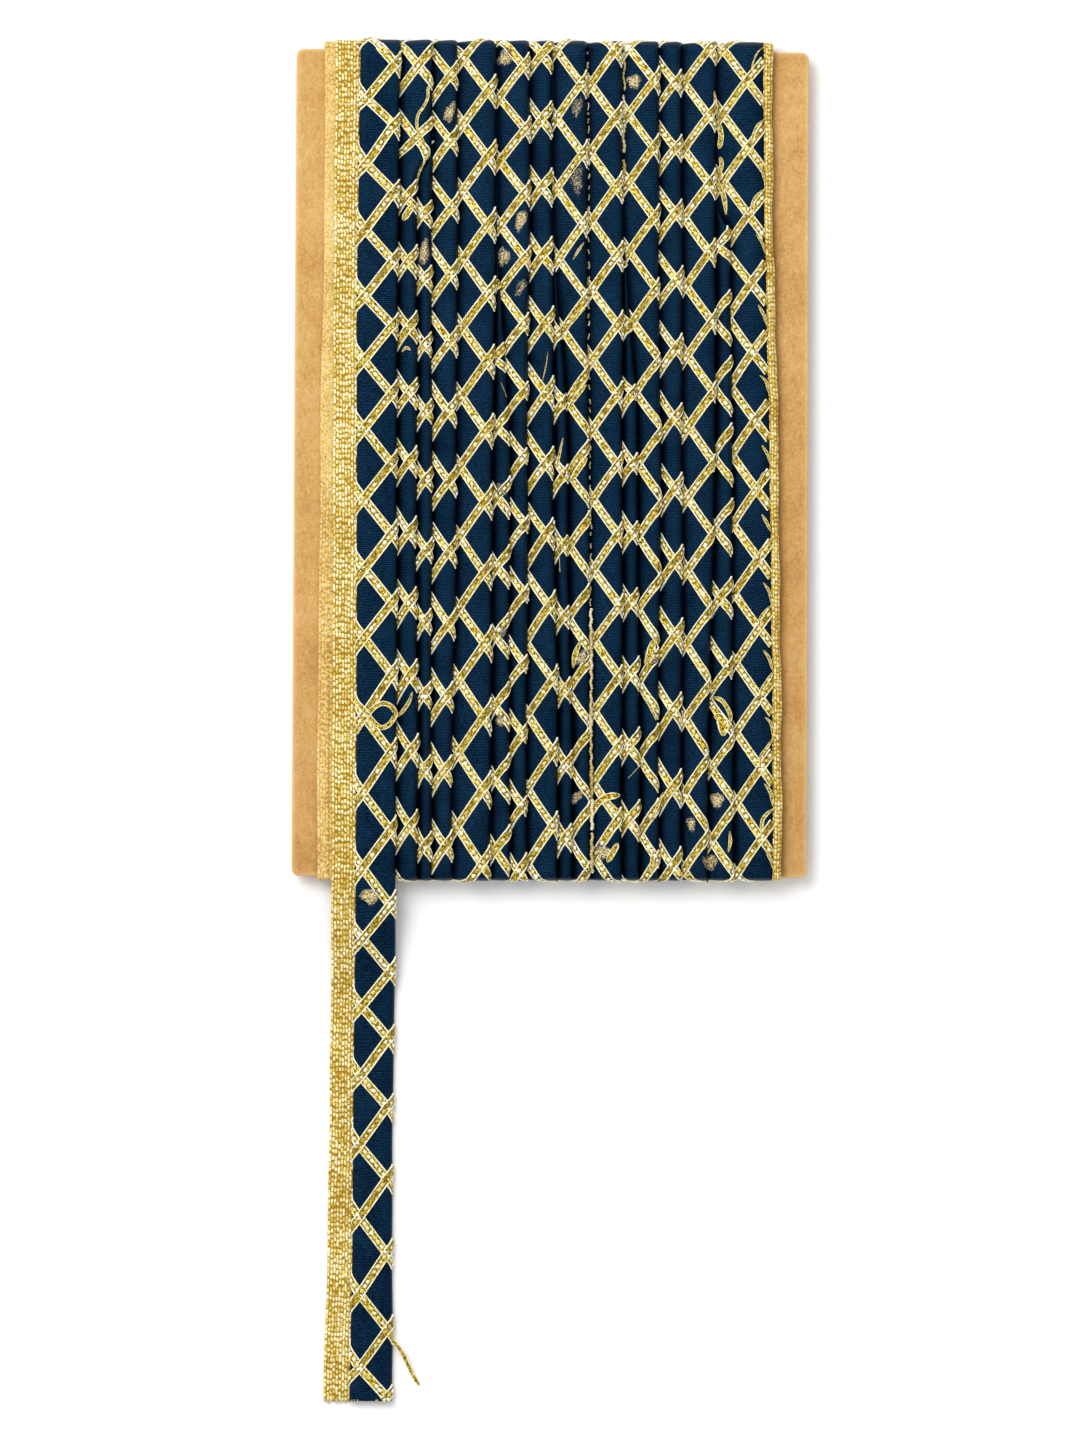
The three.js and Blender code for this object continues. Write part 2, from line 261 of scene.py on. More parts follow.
def loose_place(y, base):
    """The last turn's place on the front, over the card's bottom edge and on the surface."""
    high = CARD_MIDDLE_Z + HALF_BOARD + base
    half_mm = 0.5

    def underside(at):
        return high * (1 - smooth((FALL_START - at) / (FALL_START - FALL_END)))

    tilt = math.atan(float(underside(y + half_mm) - underside(y - half_mm)))
    low = float(underside(y))
    return lambda height: (
        y - (height - base) * math.sin(tilt),
        low + (height - base) * math.cos(tilt),
    )


# Sections across the strip: points (x, height, depth of shade) from the fold's foot to the left
SIDE_ANGLES = np.radians([0, 15, 30, 45, 60, 76, 90])
SIDE_SHADES = (1.0, 0.9, 0.66, 0.36, 0.14, 0.03, 0.0)
# How far in and how far down the fold's lowest points lie from its foot
FOLD_TUCK = ((0.3, 0.4), (0.06, 0.2))


def fold_side(right, reach, high, foot):
    """The fold's rounded right side, from under its foot up to its crest."""
    points = [(right - inward, foot - down, 1.0) for inward, down in FOLD_TUCK]
    for t, shade in zip(SIDE_ANGLES, SIDE_SHADES):
        x = right - reach + reach * math.cos(t)
        points.append((x, foot + (high - foot) * math.sin(t), shade))
    return points


def wound_section(left, right, on_back, lift, reach_limit=SIDE_REACH, foot=SIDE_FOOT):
    """A turn that its left neighbour overlaps as far as left."""
    width = max(right - left, LEAST_WIDTH)
    high = GROOVE + RIDGE_RISE * (1 - math.exp(-width / RIDGE_WIDTH)) + lift * (1 - on_back)
    reach = min(reach_limit, REACH_SHARE * width + REACH_LEAST)
    points = fold_side(right, reach, high, foot)
    middle = right - reach
    run = max(middle - left, 0.02)
    for part in SLOPE_PARTS:
        shade = float(smooth((part * run - run + SHADE_RUN) / SHADE_FADE))
        points.append((middle - part * run, mix(high, GROOVE, part**SLOPE_POWER), shade))
    points += [(left - past, GROOVE - down, 1.0) for past, down in TUCKED]
    low = GROOVE - UNDER_DROP
    under = [(left - TUCK, low, 1.0), (max(left - UNDER_LEAST, right - UNDER_REACH), low, 1.0)]
    limit = mix(FRONT_LIMIT, BACK_LIMIT, on_back)
    points = [(x, min(h, limit), shade) for x, h, shade in points]
    return points, under, right - left


def loose_section(seam, right, base, lift, rise=WELT_HEIGHT):
    """The last turn and the loose end, whose whole face shows."""
    top = base + rise
    points = fold_side(right, FACE_REACH, top, base + FACE_FOOT)
    middle = right - FACE_REACH
    run = middle - seam
    for part in FACE_PARTS:
        crown = FACE_CROWN * math.sin(math.pi * min(part / CROWN_END, 1.0)) * (1 + lift)
        drop = SEAM_DROP * float(smooth((part - DROP_FROM) / (1 - DROP_FROM)))
        shade = SEAM_SHADE if part == FACE_PARTS[-1] else 0.0
        points.append((middle - part * run, top + crown - drop, shade))
    points += [(seam - SEAM_GAP, base + h, shade) for h, shade in SEAM_SIDE]
    under = [(seam - SEAM_GAP, base + SEAM_UNDER, 1.0), (right - FACE_REACH, base, 1.0)]
    return points, under, right - seam


# Places across the strip's face, in mm from the fold's outermost point
A_LOW, A_HIGH, A_STEP = -0.3, 17.4, 0.3
A_GRID = np.arange(A_LOW, A_HIGH, A_STEP)


class Strip:
    """The wound strip as stations down its length, each with a section across it."""

    def __init__(self):
        self.outline, self.grid, self.visible, self.inside, self.shade = [], [], [], [], []
        self.turn, self.front, self.y, self.inset = [], [], [], []

    def add(self, place, section, turn, front, y, inset):
        points, under, visible = section
        ring = np.array(points + under)
        self.outline.append([(x, *place(h)) for x, h, _ in ring])
        self.shade.append(ring[:, 2])
        line = np.array(points)[:, :2]
        arc = run_along(line[:, 0], line[:, 1])
        widest = arc[int(np.argmax(line[:, 0]))]
        x = np.interp(A_GRID + widest, arc, line[:, 0])
        h = np.interp(A_GRID + widest, arc, line[:, 1])
        self.inside.append(line[:, 0].max() - x)
        self.grid.append([(a, *place(b)) for a, b in zip(x, h)])
        self.visible.append(visible)
        self.turn.append(turn)
        self.front.append(front)
        self.y.append(y)
        self.inset.append(inset)

    def close(self):
        self.grid = np.array(self.grid)
        middle = self.grid[:, len(A_GRID) // 3]
        steps = np.linalg.norm(np.diff(middle, axis=0), axis=1)
        self.s = np.concatenate([[0.0], np.cumsum(np.maximum(steps, 0.05))])
        along = np.gradient(self.grid, axis=0)
        across = np.gradient(self.grid, axis=1)
        across[np.linalg.norm(across, axis=2) < 1e-6] = (-1.0, 0.0, 0.0)
        self.normal = unit(np.cross(across, along))
        for name in ("visible", "turn", "front", "y", "inset"):
            setattr(self, name, np.array(getattr(self, name), float))

    def at(self, s, a, lift):
        """Points on the strip's face, lifted off it, for arrays of s, a and lift."""
        row = np.interp(s, self.s, np.arange(len(self.s)))
        col = np.clip((a - A_LOW) / A_STEP, 0, len(A_GRID) - 1.001)
        i = np.clip(row.astype(int), 0, len(self.s) - 2)
        j = col.astype(int)
        u, v = (row - i)[..., None], (col - j)[..., None]

        def blend(values):
            low = mix(values[i, j], values[i, j + 1], v)
            high = mix(values[i + 1, j], values[i + 1, j + 1], v)
            return mix(low, high, u)

        return blend(self.grid) + unit(blend(self.normal)) * np.asarray(lift)[..., None]


FRONT_STEP, BACK_STEP = 3.0, 5.0
EDGE_DEGREES = np.arange(12, 180, 12)


def back_edges(index, y):
    """On the back the strip crosses from turn index + 1 below to turn index above."""
    t = (y - EDGE_BOTTOM) / (EDGE_TOP - EDGE_BOTTOM)
    last = len(TURNS) - 1
    below = right_edge(min(index + 1, last), EDGE_BOTTOM)
    right = mix(below, right_edge(index, EDGE_TOP), t)
    if index == 0:
        return right - BODY_WIDTH, right
    left = mix(right_edge(index, EDGE_BOTTOM), right_edge(index - 1, EDGE_TOP), t)
    return left, right


def edge_section(index, y, on_back, left, right):
    wave = waves(HEIGHT_WAVES, y, index)
    if index == len(TURNS) - 1:
        foot = mix(LAST_FOOT, SIDE_FOOT, on_back)
        return wound_section(left, right, on_back, wave, LAST_REACH, foot)
    return wound_section(left, right, on_back, wave)


def add_back(strip, index):
    start = EDGE_BOTTOM + (BACK_START if index == len(TURNS) - 1 else 0.0)
    for y in np.arange(start, EDGE_TOP, BACK_STEP):
        left, right = back_edges(index, y)
        if index == 0:
            section = loose_section(left, right, BACK_BASE, 0.0, BACK_LIMIT - BACK_BASE)
        else:
            section = edge_section(index, y, 1.0, left, right)
        strip.add(face_place(y, -1), section, index, 0, y, TURNS[index]["inset_low"])
    for degree in EDGE_DEGREES[::-1]:
        share = degree / 180
        place = edge_place("top", math.radians(degree))
        left, right = back_edges(index, EDGE_TOP)
        if index == 0:
            base = mix(LOOSE_BASE, BACK_BASE, share)
            rise = mix(WELT_HEIGHT, BACK_LIMIT - BACK_BASE, share)
            section = loose_section(tail_value(TAIL_SEAM, EDGE_TOP), right, base, 0.0, rise)
        else:
            section = edge_section(index, EDGE_TOP, share, left, right)
        strip.add(place, section, index, 0, EDGE_TOP, TURNS[index]["inset_high"])


def add_front(strip, index):
    turn = TURNS[index]
    for y in np.arange(EDGE_TOP, EDGE_BOTTOM - 0.01, -FRONT_STEP):
        left, right = right_edge(index - 1, y), right_edge(index, y)
        inset = across_rows(turn, y, "inset_")
        section = edge_section(index, y, 0.0, left, max(right, left + 2 * LEAST_WIDTH))
        strip.add(face_place(y, 1), section, index, 1, y, inset)
    left, right = right_edge(index - 1, EDGE_BOTTOM), right_edge(index, EDGE_BOTTOM)
    for degree in EDGE_DEGREES:
        place = edge_place("bottom", math.radians(degree))
        section = edge_section(index, EDGE_BOTTOM, degree / 180, left, right)
        strip.add(place, section, index, 0, EDGE_BOTTOM, turn["inset_low"])


def add_loose(strip):
    """The last turn down the front, off the card and on to its cut end."""
    for y in np.append(np.arange(EDGE_TOP, TAIL_END, -FRONT_STEP), TAIL_END):
        seam, right = tail_value(TAIL_SEAM, y), tail_value(TAIL_RIGHT, y)
        right += waves(EDGE_WAVES, y) * LAST_WAVE
        section = loose_section(seam, right, LOOSE_BASE, waves(HEIGHT_WAVES, y))
        strip.add(loose_place(y, LOOSE_BASE), section, 0, 1, y, LAST_INSET)


def wind_strip():
    strip = Strip()
    for index in range(len(TURNS) - 1, 0, -1):
        add_back(strip, index)
        add_front(strip, index)
    add_back(strip, 0)
    add_loose(strip)
    strip.close()
    return strip


# How many repeats of the trellis lie above each place on the strip
def repeats_above(row):
    return np.log(REPEAT_AT_TOP + REPEAT_GROWTH * (row - REPEAT_ROW)) / REPEAT_GROWTH


def front_phase(index, y):
    if index > 0:
        turn, row = TURNS[index], row_of(y)
        t = (row - turn["first"]) / (turn["twelfth"] - turn["first"])
        row -= turn["bow"] * math.sin(math.pi * min(max(t, 0.0), 1.0))
        first, last = repeats_above(turn["first"]), repeats_above(turn["twelfth"])
        return 0.5 + REPEATS_BETWEEN * (repeats_above(row) - first) / (last - first)
    rows = np.sort(np.concatenate([LEFT_CROSS_ROWS, RIGHT_CROSS_ROWS]))
    before = LEFT_CROSS_ROWS[0] - np.array(ROWS_BEFORE)
    rows = np.concatenate([before, rows, [rows[-1] + ROWS_AFTER]])
    return np.interp(row_of(y), rows, 0.5 * np.arange(-2, len(rows) - 2))


def strip_phase(strip):
    """Phase at each station: whole numbers where bands cross at the seam side, halves at the fold."""
    phase = np.full(len(strip.s), np.nan)
    known_s, known_phase = [], []
    ahead = 0.0
    for index in range(len(TURNS) - 1, -1, -1):
        on = np.flatnonzero((strip.turn == index) & (strip.front == 1))
        values = np.array([front_phase(index, strip.y[i]) for i in on])
        if known_s:
            ahead = known_phase[-1] + (strip.s[on[0]] - known_s[-1]) / PERIOD_MM
        values = values + round(ahead - values[0])
        phase[on] = values
        known_s.extend(strip.s[on])
        known_phase.extend(values)
    missing = np.isnan(phase)
    phase[missing] = np.interp(strip.s[missing], known_s, known_phase)
    first = int(np.flatnonzero(~missing)[0])
    phase[:first] = phase[first] - (strip.s[first] - strip.s[:first]) / PERIOD_MM
    return phase


# Mesh making
def make_object(name, vertices, faces, materials, uv=None, values=None, smooth_faces=True, lean=True):
    """A mesh object from points in mm, pressed flat where it meets the table.

    uv and values hold one entry for each vertex.
    """
    mesh = bpy.data.meshes.new(name)
    vertices = np.array(vertices, float).reshape(-1, 3)
    if lean:
        leaning = smooth((vertices[:, 1] - LEAN_FROM) / LEAN_OVER)
        vertices[:, 1] += TOP_LEAN * vertices[:, 0] * leaning
    vertices[:, 2] = np.maximum(vertices[:, 2], 0.0)
    mesh.from_pydata((vertices * MM).tolist(), [], [list(map(int, f)) for f in faces])
    mesh.validate()
    loops = np.zeros(len(mesh.loops), int)
    mesh.loops.foreach_get("vertex_index", loops)
    if uv is not None:
        layer = mesh.uv_layers.new(name="strip")
        layer.uv.foreach_set("vector", np.asarray(uv, np.float32)[loops].ravel())
    for key, value in (values or {}).items():
        attribute = mesh.attributes.new(key, "FLOAT", "POINT")
        attribute.data.foreach_set("value", np.asarray(value, np.float32).ravel())
    mesh.polygons.foreach_set("use_smooth", [smooth_faces] * len(mesh.polygons))
    for material in materials:
        mesh.materials.append(material)
    made = bpy.data.objects.new(name, mesh)
    bpy.context.scene.collection.objects.link(made)
    return made


def grid_faces(rows, columns, ring=False):
    """Quads over a rows by columns grid of vertices. A ring joins the last column to the first."""
    i, j = np.meshgrid(np.arange(rows - 1), np.arange(columns if ring else columns - 1), indexing="ij")
    here = i * columns + j
    beside = i * columns + (j + 1) % columns
    quads = np.stack([here, beside, beside + columns, here + columns], -1)
    return quads.reshape(-1, 4)


def tube_faces(rows, columns, joined=False):
    """Faces of a tube of rings, its ends joined to each other or capped."""
    faces = grid_faces(rows, columns, ring=True)
    last = (rows - 1) * columns
    if joined:
        j = np.arange(columns)
        k = (j + 1) % columns
        return np.concatenate([faces, np.stack([last + j, last + k, k, j], -1)]).tolist()
    return faces.tolist() + [list(range(columns))[::-1], list(range(last, last + columns))]


def grid_uv(along, across):
    """Texture places in metres for a grid of points."""
    return np.stack(np.meshgrid(along * MM, across * MM, indexing="ij"), -1).reshape(-1, 2)


class Parts:
    """Collects many small grids of points into one mesh."""

    def __init__(self):
        self.vertices, self.faces, self.uv, self.values = [], [], [], {}
        self.count = 0

    def add(self, points, faces, uv, **values):
        points = np.asarray(points, float).reshape(-1, 3)
        self.vertices.append(points)
        self.faces.append(np.asarray(faces) + self.count)
        self.uv.append(np.asarray(uv, float).reshape(-1, 2))
        for key, value in values.items():
            spread = np.broadcast_to(np.asarray(value, float).ravel(), (len(points),))
            self.values.setdefault(key, []).append(spread)
        self.count += len(points)

    def build(self, name, materials, lean=True):
        faces = [f for group in self.faces for f in group.tolist()]
        values = {key: np.concatenate(parts) for key, parts in self.values.items()}
        points, uv = np.concatenate(self.vertices), np.concatenate(self.uv)
        return make_object(name, points, faces, materials, uv, values, True, lean)


# Colours of the materials, as stops of ramps from dark to light or as single colours
SATIN_COLOURS = (
    (0.39, (0.0001, 0.0016, 0.0048)),
    (0.50, (0.0005, 0.0070, 0.0190)),
    (0.61, (0.0062, 0.0275, 0.0610)),
)
SATIN_SHADE = (0.0002, 0.0007, 0.0018)
BARE_THREADS = ((0.40, (0.16, 0.105, 0.035)), (0.50, (0.47, 0.355, 0.155)), (0.59, (0.80, 0.68, 0.38)))
# The yarns' ramps run from painted shade in the hollows, through the yarn's gold, to painted highlights
# on the nubs' tops
GOLD_YARN = ((0.05, (0.33, 0.180, 0.012)), (0.42, (0.735, 0.545, 0.118)), (0.85, (0.98, 0.96, 0.72)))
PALE_YARN = ((0.05, (0.44, 0.24, 0.045)), (0.42, (0.775, 0.56, 0.205)), (0.85, (0.94, 0.84, 0.53)))
BRAID_GROUND = (
    (0.41, (0.040, 0.015, 0.0001)),
    (0.47, (0.260, 0.148, 0.0003)),
    (0.53, (0.590, 0.410, 0.006)),
    (0.59, (0.980, 0.880, 0.240)),
)
# The dark ochre of the bands' painted shade
BRAID_PAINTED_SHADE = (0.15, 0.082, 0.0005)
BRAID_CORDS = ((0.37, (0.55, 0.40, 0.05)), (0.45, (0.90, 0.81, 0.36)), (0.52, (1.0, 1.0, 0.90)))
BEAD_COLOURS = ((0.05, (0.12, 0.07, 0.002)), (0.32, (0.76, 0.60, 0.13)), (0.58, (0.99, 1.0, 0.88)))
KRAFT_COLOURS = (
    (0.39, (0.435, 0.215, 0.058)),
    (0.50, (0.580, 0.328, 0.104)),
    (0.61, (0.695, 0.436, 0.170)),
)
# Painted shade towards the board's lower right, and the rolled edge's painted shadow on the board
KRAFT_DUSK, KRAFT_ROPE_SHADOW = (0.40, 0.19, 0.05), (0.17, 0.070, 0.010)
KRAFT_SPECK, KRAFT_RIM = (0.36, 0.17, 0.05), (0.86, 0.60, 0.30)
SPECK_STEPS = ((0.66, (0.0, 0.0, 0.0)), (0.72, (1.0, 1.0, 1.0)))
FLOOR_WHITE = (0.99, 0.99, 0.99)
PLAIN_GLINT, GOLD_GLINT, SATIN_GLINT = (1.0, 1.0, 1.0), (1.0, 0.84, 0.38), (0.12, 0.45, 1.0)


# Nodes that the materials are made of
def new_material(name):
    material = bpy.data.materials.new(name)
    material.use_nodes = True
    tree = material.node_tree
    return material, tree, tree.nodes["Principled BSDF"]


def node(tree, kind, **settings):
    made = tree.nodes.new(kind)
    for key, value in settings.items():
        if key in made.inputs:
            made.inputs[key].default_value = value
        else:
            setattr(made, key, value)
    return made


def feed(tree, value, socket):
    """Sets a socket to a number or a colour, or links another node's output to it."""
    if isinstance(value, (int, float)):
        socket.default_value = value
    elif isinstance(value, tuple):
        socket.default_value = (*value, 1.0)
    elif value is not None:
        tree.links.new(value, socket)


def ramp(tree, source, stops):
    made = node(tree, "ShaderNodeValToRGB")
    while len(made.color_ramp.elements) < len(stops):
        made.color_ramp.elements.new(0.5)
    for element, (position, colour) in zip(made.color_ramp.elements, stops):
        element.position = position
        element.color = (*colour, 1.0)
    feed(tree, source, made.inputs["Fac"])
    return made.outputs["Color"]


def attribute(tree, name):
    return node(tree, "ShaderNodeAttribute", attribute_name=name).outputs["Fac"]


def mapped(tree, vector, **settings):
    made = node(tree, "ShaderNodeMapping", **settings)
    feed(tree, vector, made.inputs["Vector"])
    return made.outputs["Vector"]


def coordinates(tree, scale=(1.0, 1.0, 1.0)):
    """Object coordinates, times scale on each axis."""
    return mapped(tree, node(tree, "ShaderNodeTexCoord").outputs["Object"], Scale=scale)


def strip_coordinates(tree, scale):
    """Places along and across the strip, times scale."""
    source = node(tree, "ShaderNodeUVMap", uv_map="strip")
    return mapped(tree, source.outputs["UV"], Scale=scale)


def axis_of(tree, vector, axis):
    split = node(tree, "ShaderNodeSeparateXYZ")
    feed(tree, vector, split.inputs["Vector"])
    return split.outputs[axis]


def noise(tree, vector, scale, detail=3.0, roughness=0.55):
    made = node(tree, "ShaderNodeTexNoise", Scale=scale, Detail=detail, Roughness=roughness)
    feed(tree, vector, made.inputs["Vector"])
    return made.outputs["Fac"]


def grain(tree, scale, detail=3.0, roughness=0.55):
    """Noise all through the object."""
    return noise(tree, coordinates(tree), scale, detail, roughness)


def math_node(tree, operation, *values):
    made = node(tree, "ShaderNodeMath", operation=operation)
    for socket, value in zip(made.inputs, values):
        feed(tree, value, socket)
    return made.outputs[0]


def scaled(tree, source, amount, added=0.0):
    """A value times an amount, plus another value."""
    return math_node(tree, "MULTIPLY_ADD", source, amount, added)


def varied(tree, source, chances, amount):
    """A value with noise laid over it, half up and half down."""
    return scaled(tree, math_node(tree, "SUBTRACT", chances, 0.5), amount, source)


def clamped(output):
    output.node.use_clamp = True
    return output


def colour_mix(tree, factor, first, second):
    made = node(tree, "ShaderNodeMix", data_type="RGBA")
    for index, value in ((0, factor), (6, first), (7, second)):
        feed(tree, value, made.inputs[index])
    return made.outputs[2]


def dress(tree, shader, colour, roughness, specular, glint=PLAIN_GLINT, metal=0.0):
    """Gives a shader its colour and its other values."""
    names = ("Base Color", "Roughness", "Specular IOR Level", "Specular Tint", "Metallic")
    for name, value in zip(names, (colour, roughness, specular, glint, metal)):
        feed(tree, value, shader.inputs[name])


def bump(tree, shader, height, strength, distance):
    made = node(tree, "ShaderNodeBump", Strength=strength, Distance=distance)
    feed(tree, height, made.inputs["Height"])
    feed(tree, made.outputs["Normal"], shader.inputs["Normal"])


# Materials
def satin_cloth(tree):
    """The satin's threads and its colour: wavy fine ribs, flecks that catch the light, a mottle."""
    ribs = node(tree, "ShaderNodeTexWave", Scale=1.0, Distortion=5.0, Detail=2.0)
    ribs.inputs["Detail Scale"].default_value = 1.6
    feed(tree, strip_coordinates(tree, (520.0, 480.0, 1.0)), ribs.inputs["Vector"])
    flecks = noise(tree, strip_coordinates(tree, (2300.0, 1100.0, 1.0)), 1.0, 2.0)
    threads = scaled(tree, ribs.outputs["Fac"], 0.24, scaled(tree, flecks, 0.5))
    tone = scaled(tree, grain(tree, 150.0, 4.0), 0.26, threads)
    colour = ramp(tree, tone, SATIN_COLOURS)
    return threads, colour_mix(tree, attribute(tree, "shade"), colour, SATIN_SHADE)


def satin_material():
    material, tree, shader = new_material("navy_satin")
    threads, colour = satin_cloth(tree)
    dress(tree, shader, colour, roughness=0.5, specular=0.16, glint=SATIN_GLINT)
    bump(tree, shader, threads, strength=0.35, distance=0.00012)
    return material


def patch_material():
    """Satin whose surface has rubbed through to tan threads in a feathered patch."""
    material, tree, shader = new_material("rubbed_patch")
    cloth = satin_cloth(tree)[1]
    grains = grain(tree, 2200.0)
    over = math_node(tree, "ADD", scaled(tree, grains, 1.4, -0.72), attribute(tree, "bare"))
    shown = clamped(scaled(tree, over, 1.3))
    colour = colour_mix(tree, shown, cloth, ramp(tree, grains, BARE_THREADS))
    dress(tree, shader, colour, roughness=0.5, specular=0.16, glint=SATIN_GLINT)
    bump(tree, shader, grains, strength=0.4, distance=0.0002)
    return material


def weave_material(name, colours, metal):
    """Woven metallic yarn: gold on the nubs, with painted shade that makes the hollows ochre and painted
    highlights near white on the nubs' tops.
    """
    material, tree, shader = new_material(name)
    grains = grain(tree, 1500.0)
    tone = varied(tree, attribute(tree, "nub"), grains, 1.3)
    tone = varied(tree, tone, grain(tree, 90.0), 0.6)
    dress(tree, shader, ramp(tree, tone, colours), roughness=scaled(tree, grains, 0.35, 0.22),
          specular=0.32, glint=GOLD_GLINT, metal=metal)
    bump(tree, shader, grains, strength=0.5, distance=0.0002)
    return material


def braid_material():
    """The trellis band: pale cords at both edges and an ochre ground with fine slanting threads."""
    material, tree, shader = new_material("gold_braid")
    fine = grain(tree, 2300.0)
    streaks = noise(tree, strip_coordinates(tree, (900.0, 2300.0, 1.0)), 1.0, 2.0)
    tone = scaled(tree, fine, 0.4, scaled(tree, streaks, 0.6))
    # Painted shade: the dim attribute mixes the ground towards dark ochre, fully on the bands that fall
    # to the left
    dim = scaled(tree, attribute(tree, "dim"), 0.36)
    ground = colour_mix(tree, dim, ramp(tree, tone, BRAID_GROUND), BRAID_PAINTED_SHADE)
    colour = colour_mix(tree, attribute(tree, "edge"), ground, ramp(tree, tone, BRAID_CORDS))
    dress(tree, shader, colour, roughness=0.36, specular=0.28, glint=GOLD_GLINT, metal=0.1)
    bump(tree, shader, fine, strength=0.5, distance=0.00015)
    return material


def bead_material():
    material, tree, shader = new_material("gold_bead")
    fine = grain(tree, 1800.0, 2.0)
    tone = varied(tree, attribute(tree, "tint"), fine, 0.5)
    dress(tree, shader, ramp(tree, tone, BEAD_COLOURS), roughness=0.25, specular=0.5, metal=0.1)
    bump(tree, shader, fine, strength=0.3, distance=0.0001)
    return material


# The foot of the rolled edge on the board's face: X = foot - slope * Y, in metres, and how far its
# painted shadow reaches
ROPE_SLOPE, ROPE_FOOT, ROPE_SHADE_REACH = 0.0151, 0.06755, 0.0050
# The light falls off towards the board's lower right
DUSK_TURN, DUSK_START, DUSK_SCALE = math.radians(60), 0.25, 4.2


def painted_rope_shadow(tree, place):
    """How strongly the rolled edge's painted shadow darkens the board's face: most at the edge's foot,
    fading over ROPE_SHADE_REACH.
    """
    edge = scaled(tree, axis_of(tree, place, "Y"), ROPE_SLOPE, -ROPE_FOOT)
    away = math_node(tree, "ABSOLUTE", math_node(tree, "ADD", axis_of(tree, place, "X"), edge))
    near = clamped(scaled(tree, away, -1.0 / ROPE_SHADE_REACH, 1.0))
    return scaled(tree, math_node(tree, "POWER", near, 1.5), 0.72)


def dusk(tree, place):
    """How far a place on the board lies towards its lower right."""
    turned = mapped(tree, place, Rotation=(0.0, 0.0, DUSK_TURN), Location=(DUSK_START, 0.0, 0.0),
                    Scale=(DUSK_SCALE,) * 3)
    return clamped(scaled(tree, axis_of(tree, turned, "X"), 0.5))


def kraft_material():
    """Kraft board: tan with fibres, soft clouds and small dark specks, paler at its worn rim, with
    painted shade towards its lower right and a painted shadow beside the rolled edge.
    """
    material, tree, shader = new_material("kraft_board")
    place = coordinates(tree)
    fibres = noise(tree, coordinates(tree, (900.0, 260.0, 900.0)), 1.0, 4.0, 0.7)
    tone = scaled(tree, grain(tree, 42.0, 5.0, 0.65), 0.45, scaled(tree, fibres, 0.25))
    tone = scaled(tree, grain(tree, 1500.0, 3.0, 0.6), 0.3, tone)
    colour = ramp(tree, tone, KRAFT_COLOURS)
    colour = colour_mix(tree, dusk(tree, place), colour, KRAFT_DUSK)
    # Painted shadow of the rolled edge on the board beside it
    colour = colour_mix(tree, painted_rope_shadow(tree, place), colour, KRAFT_ROPE_SHADOW)
    dots = ramp(tree, grain(tree, 900.0, 2.0, 0.4), SPECK_STEPS)
    colour = colour_mix(tree, scaled(tree, dots, 0.35), colour, KRAFT_SPECK)
    colour = colour_mix(tree, scaled(tree, attribute(tree, "rim"), 0.45), colour, KRAFT_RIM)
    dress(tree, shader, colour, roughness=0.86, specular=0.25)
    bump(tree, shader, fibres, strength=0.25, distance=0.0002)
    return material


SATIN = satin_material()
PATCH = patch_material()
BRAID = braid_material()
BEAD = bead_material()
WEAVE = weave_material("gold_weave", GOLD_YARN, metal=0.1)
PALE_WEAVE = weave_material("pale_weave", PALE_YARN, metal=0.05)
KRAFT = kraft_material()


# Sub-parts. It is about this far round a section of the strip.
SECTION_ROUND = 26.0


def body_piece(name, strip, first, last):
    """The strip's body between two stations, closed at its ends."""
    points = np.array(strip.outline[first:last])
    rows, columns = points.shape[:2]
    uv = grid_uv(strip.s[first:last], np.linspace(0, 1, columns) * SECTION_ROUND)
    shade = np.array(strip.shade[first:last])
    return make_object(name, points, tube_faces(rows, columns), [SATIN], uv, {"shade": shade})


# Bands end under the fold's side, and a little higher on the wound turns
A_END, LAST_A_END = 0.5, -0.15
# A turn has no bands where it shows less than this, at this many stations to both sides
LEAST_SHOWN, NEAR = 1.7, 3
# The bands run on past what shows, and pass through its middle at the slope read on both sides of it
PAST_EDGE, SLOPE_SPAN = 1.2, 0.4
MIDDLE_SHARE, MIDDLE_MOST, MIDDLE_PAST_FOLD = 0.55, 0.8, 0.4
# Steps along a band, finer near the fold
FINE_TO, COARSE_STEP, FINE_STEP = 4.0, 0.95, 0.5


def crossing_places(strip, i, visible):
    """Where across the strip its bands cross at the fold side, at the seam side, and end.

    The bands run straight through the middle of what shows, at the slope they have there.
    """
    start = int(np.searchsorted(A_GRID, -1e-6))
    inside, across = strip.inside[i][start:], A_GRID[start:]
    inset = strip.inset[i]
    if strip.turn[i] == 0:
        return np.interp([inset, inset + LAST_CROSS_SPAN, visible + PAST_EDGE], inside, across)
    middle = max(MIDDLE_SHARE * visible, min(SIDE_REACH + MIDDLE_PAST_FOLD, MIDDLE_MOST * visible))
    places = [middle - SLOPE_SPAN, middle + SLOPE_SPAN, visible + PAST_EDGE]
    low, high, far = np.interp(places, inside, across)
    stretch = (high - low) / (2 * SLOPE_SPAN)
    right = (low + high) / 2 - stretch * (middle - inset)
    return right, right + stretch * CROSS_SPAN, far


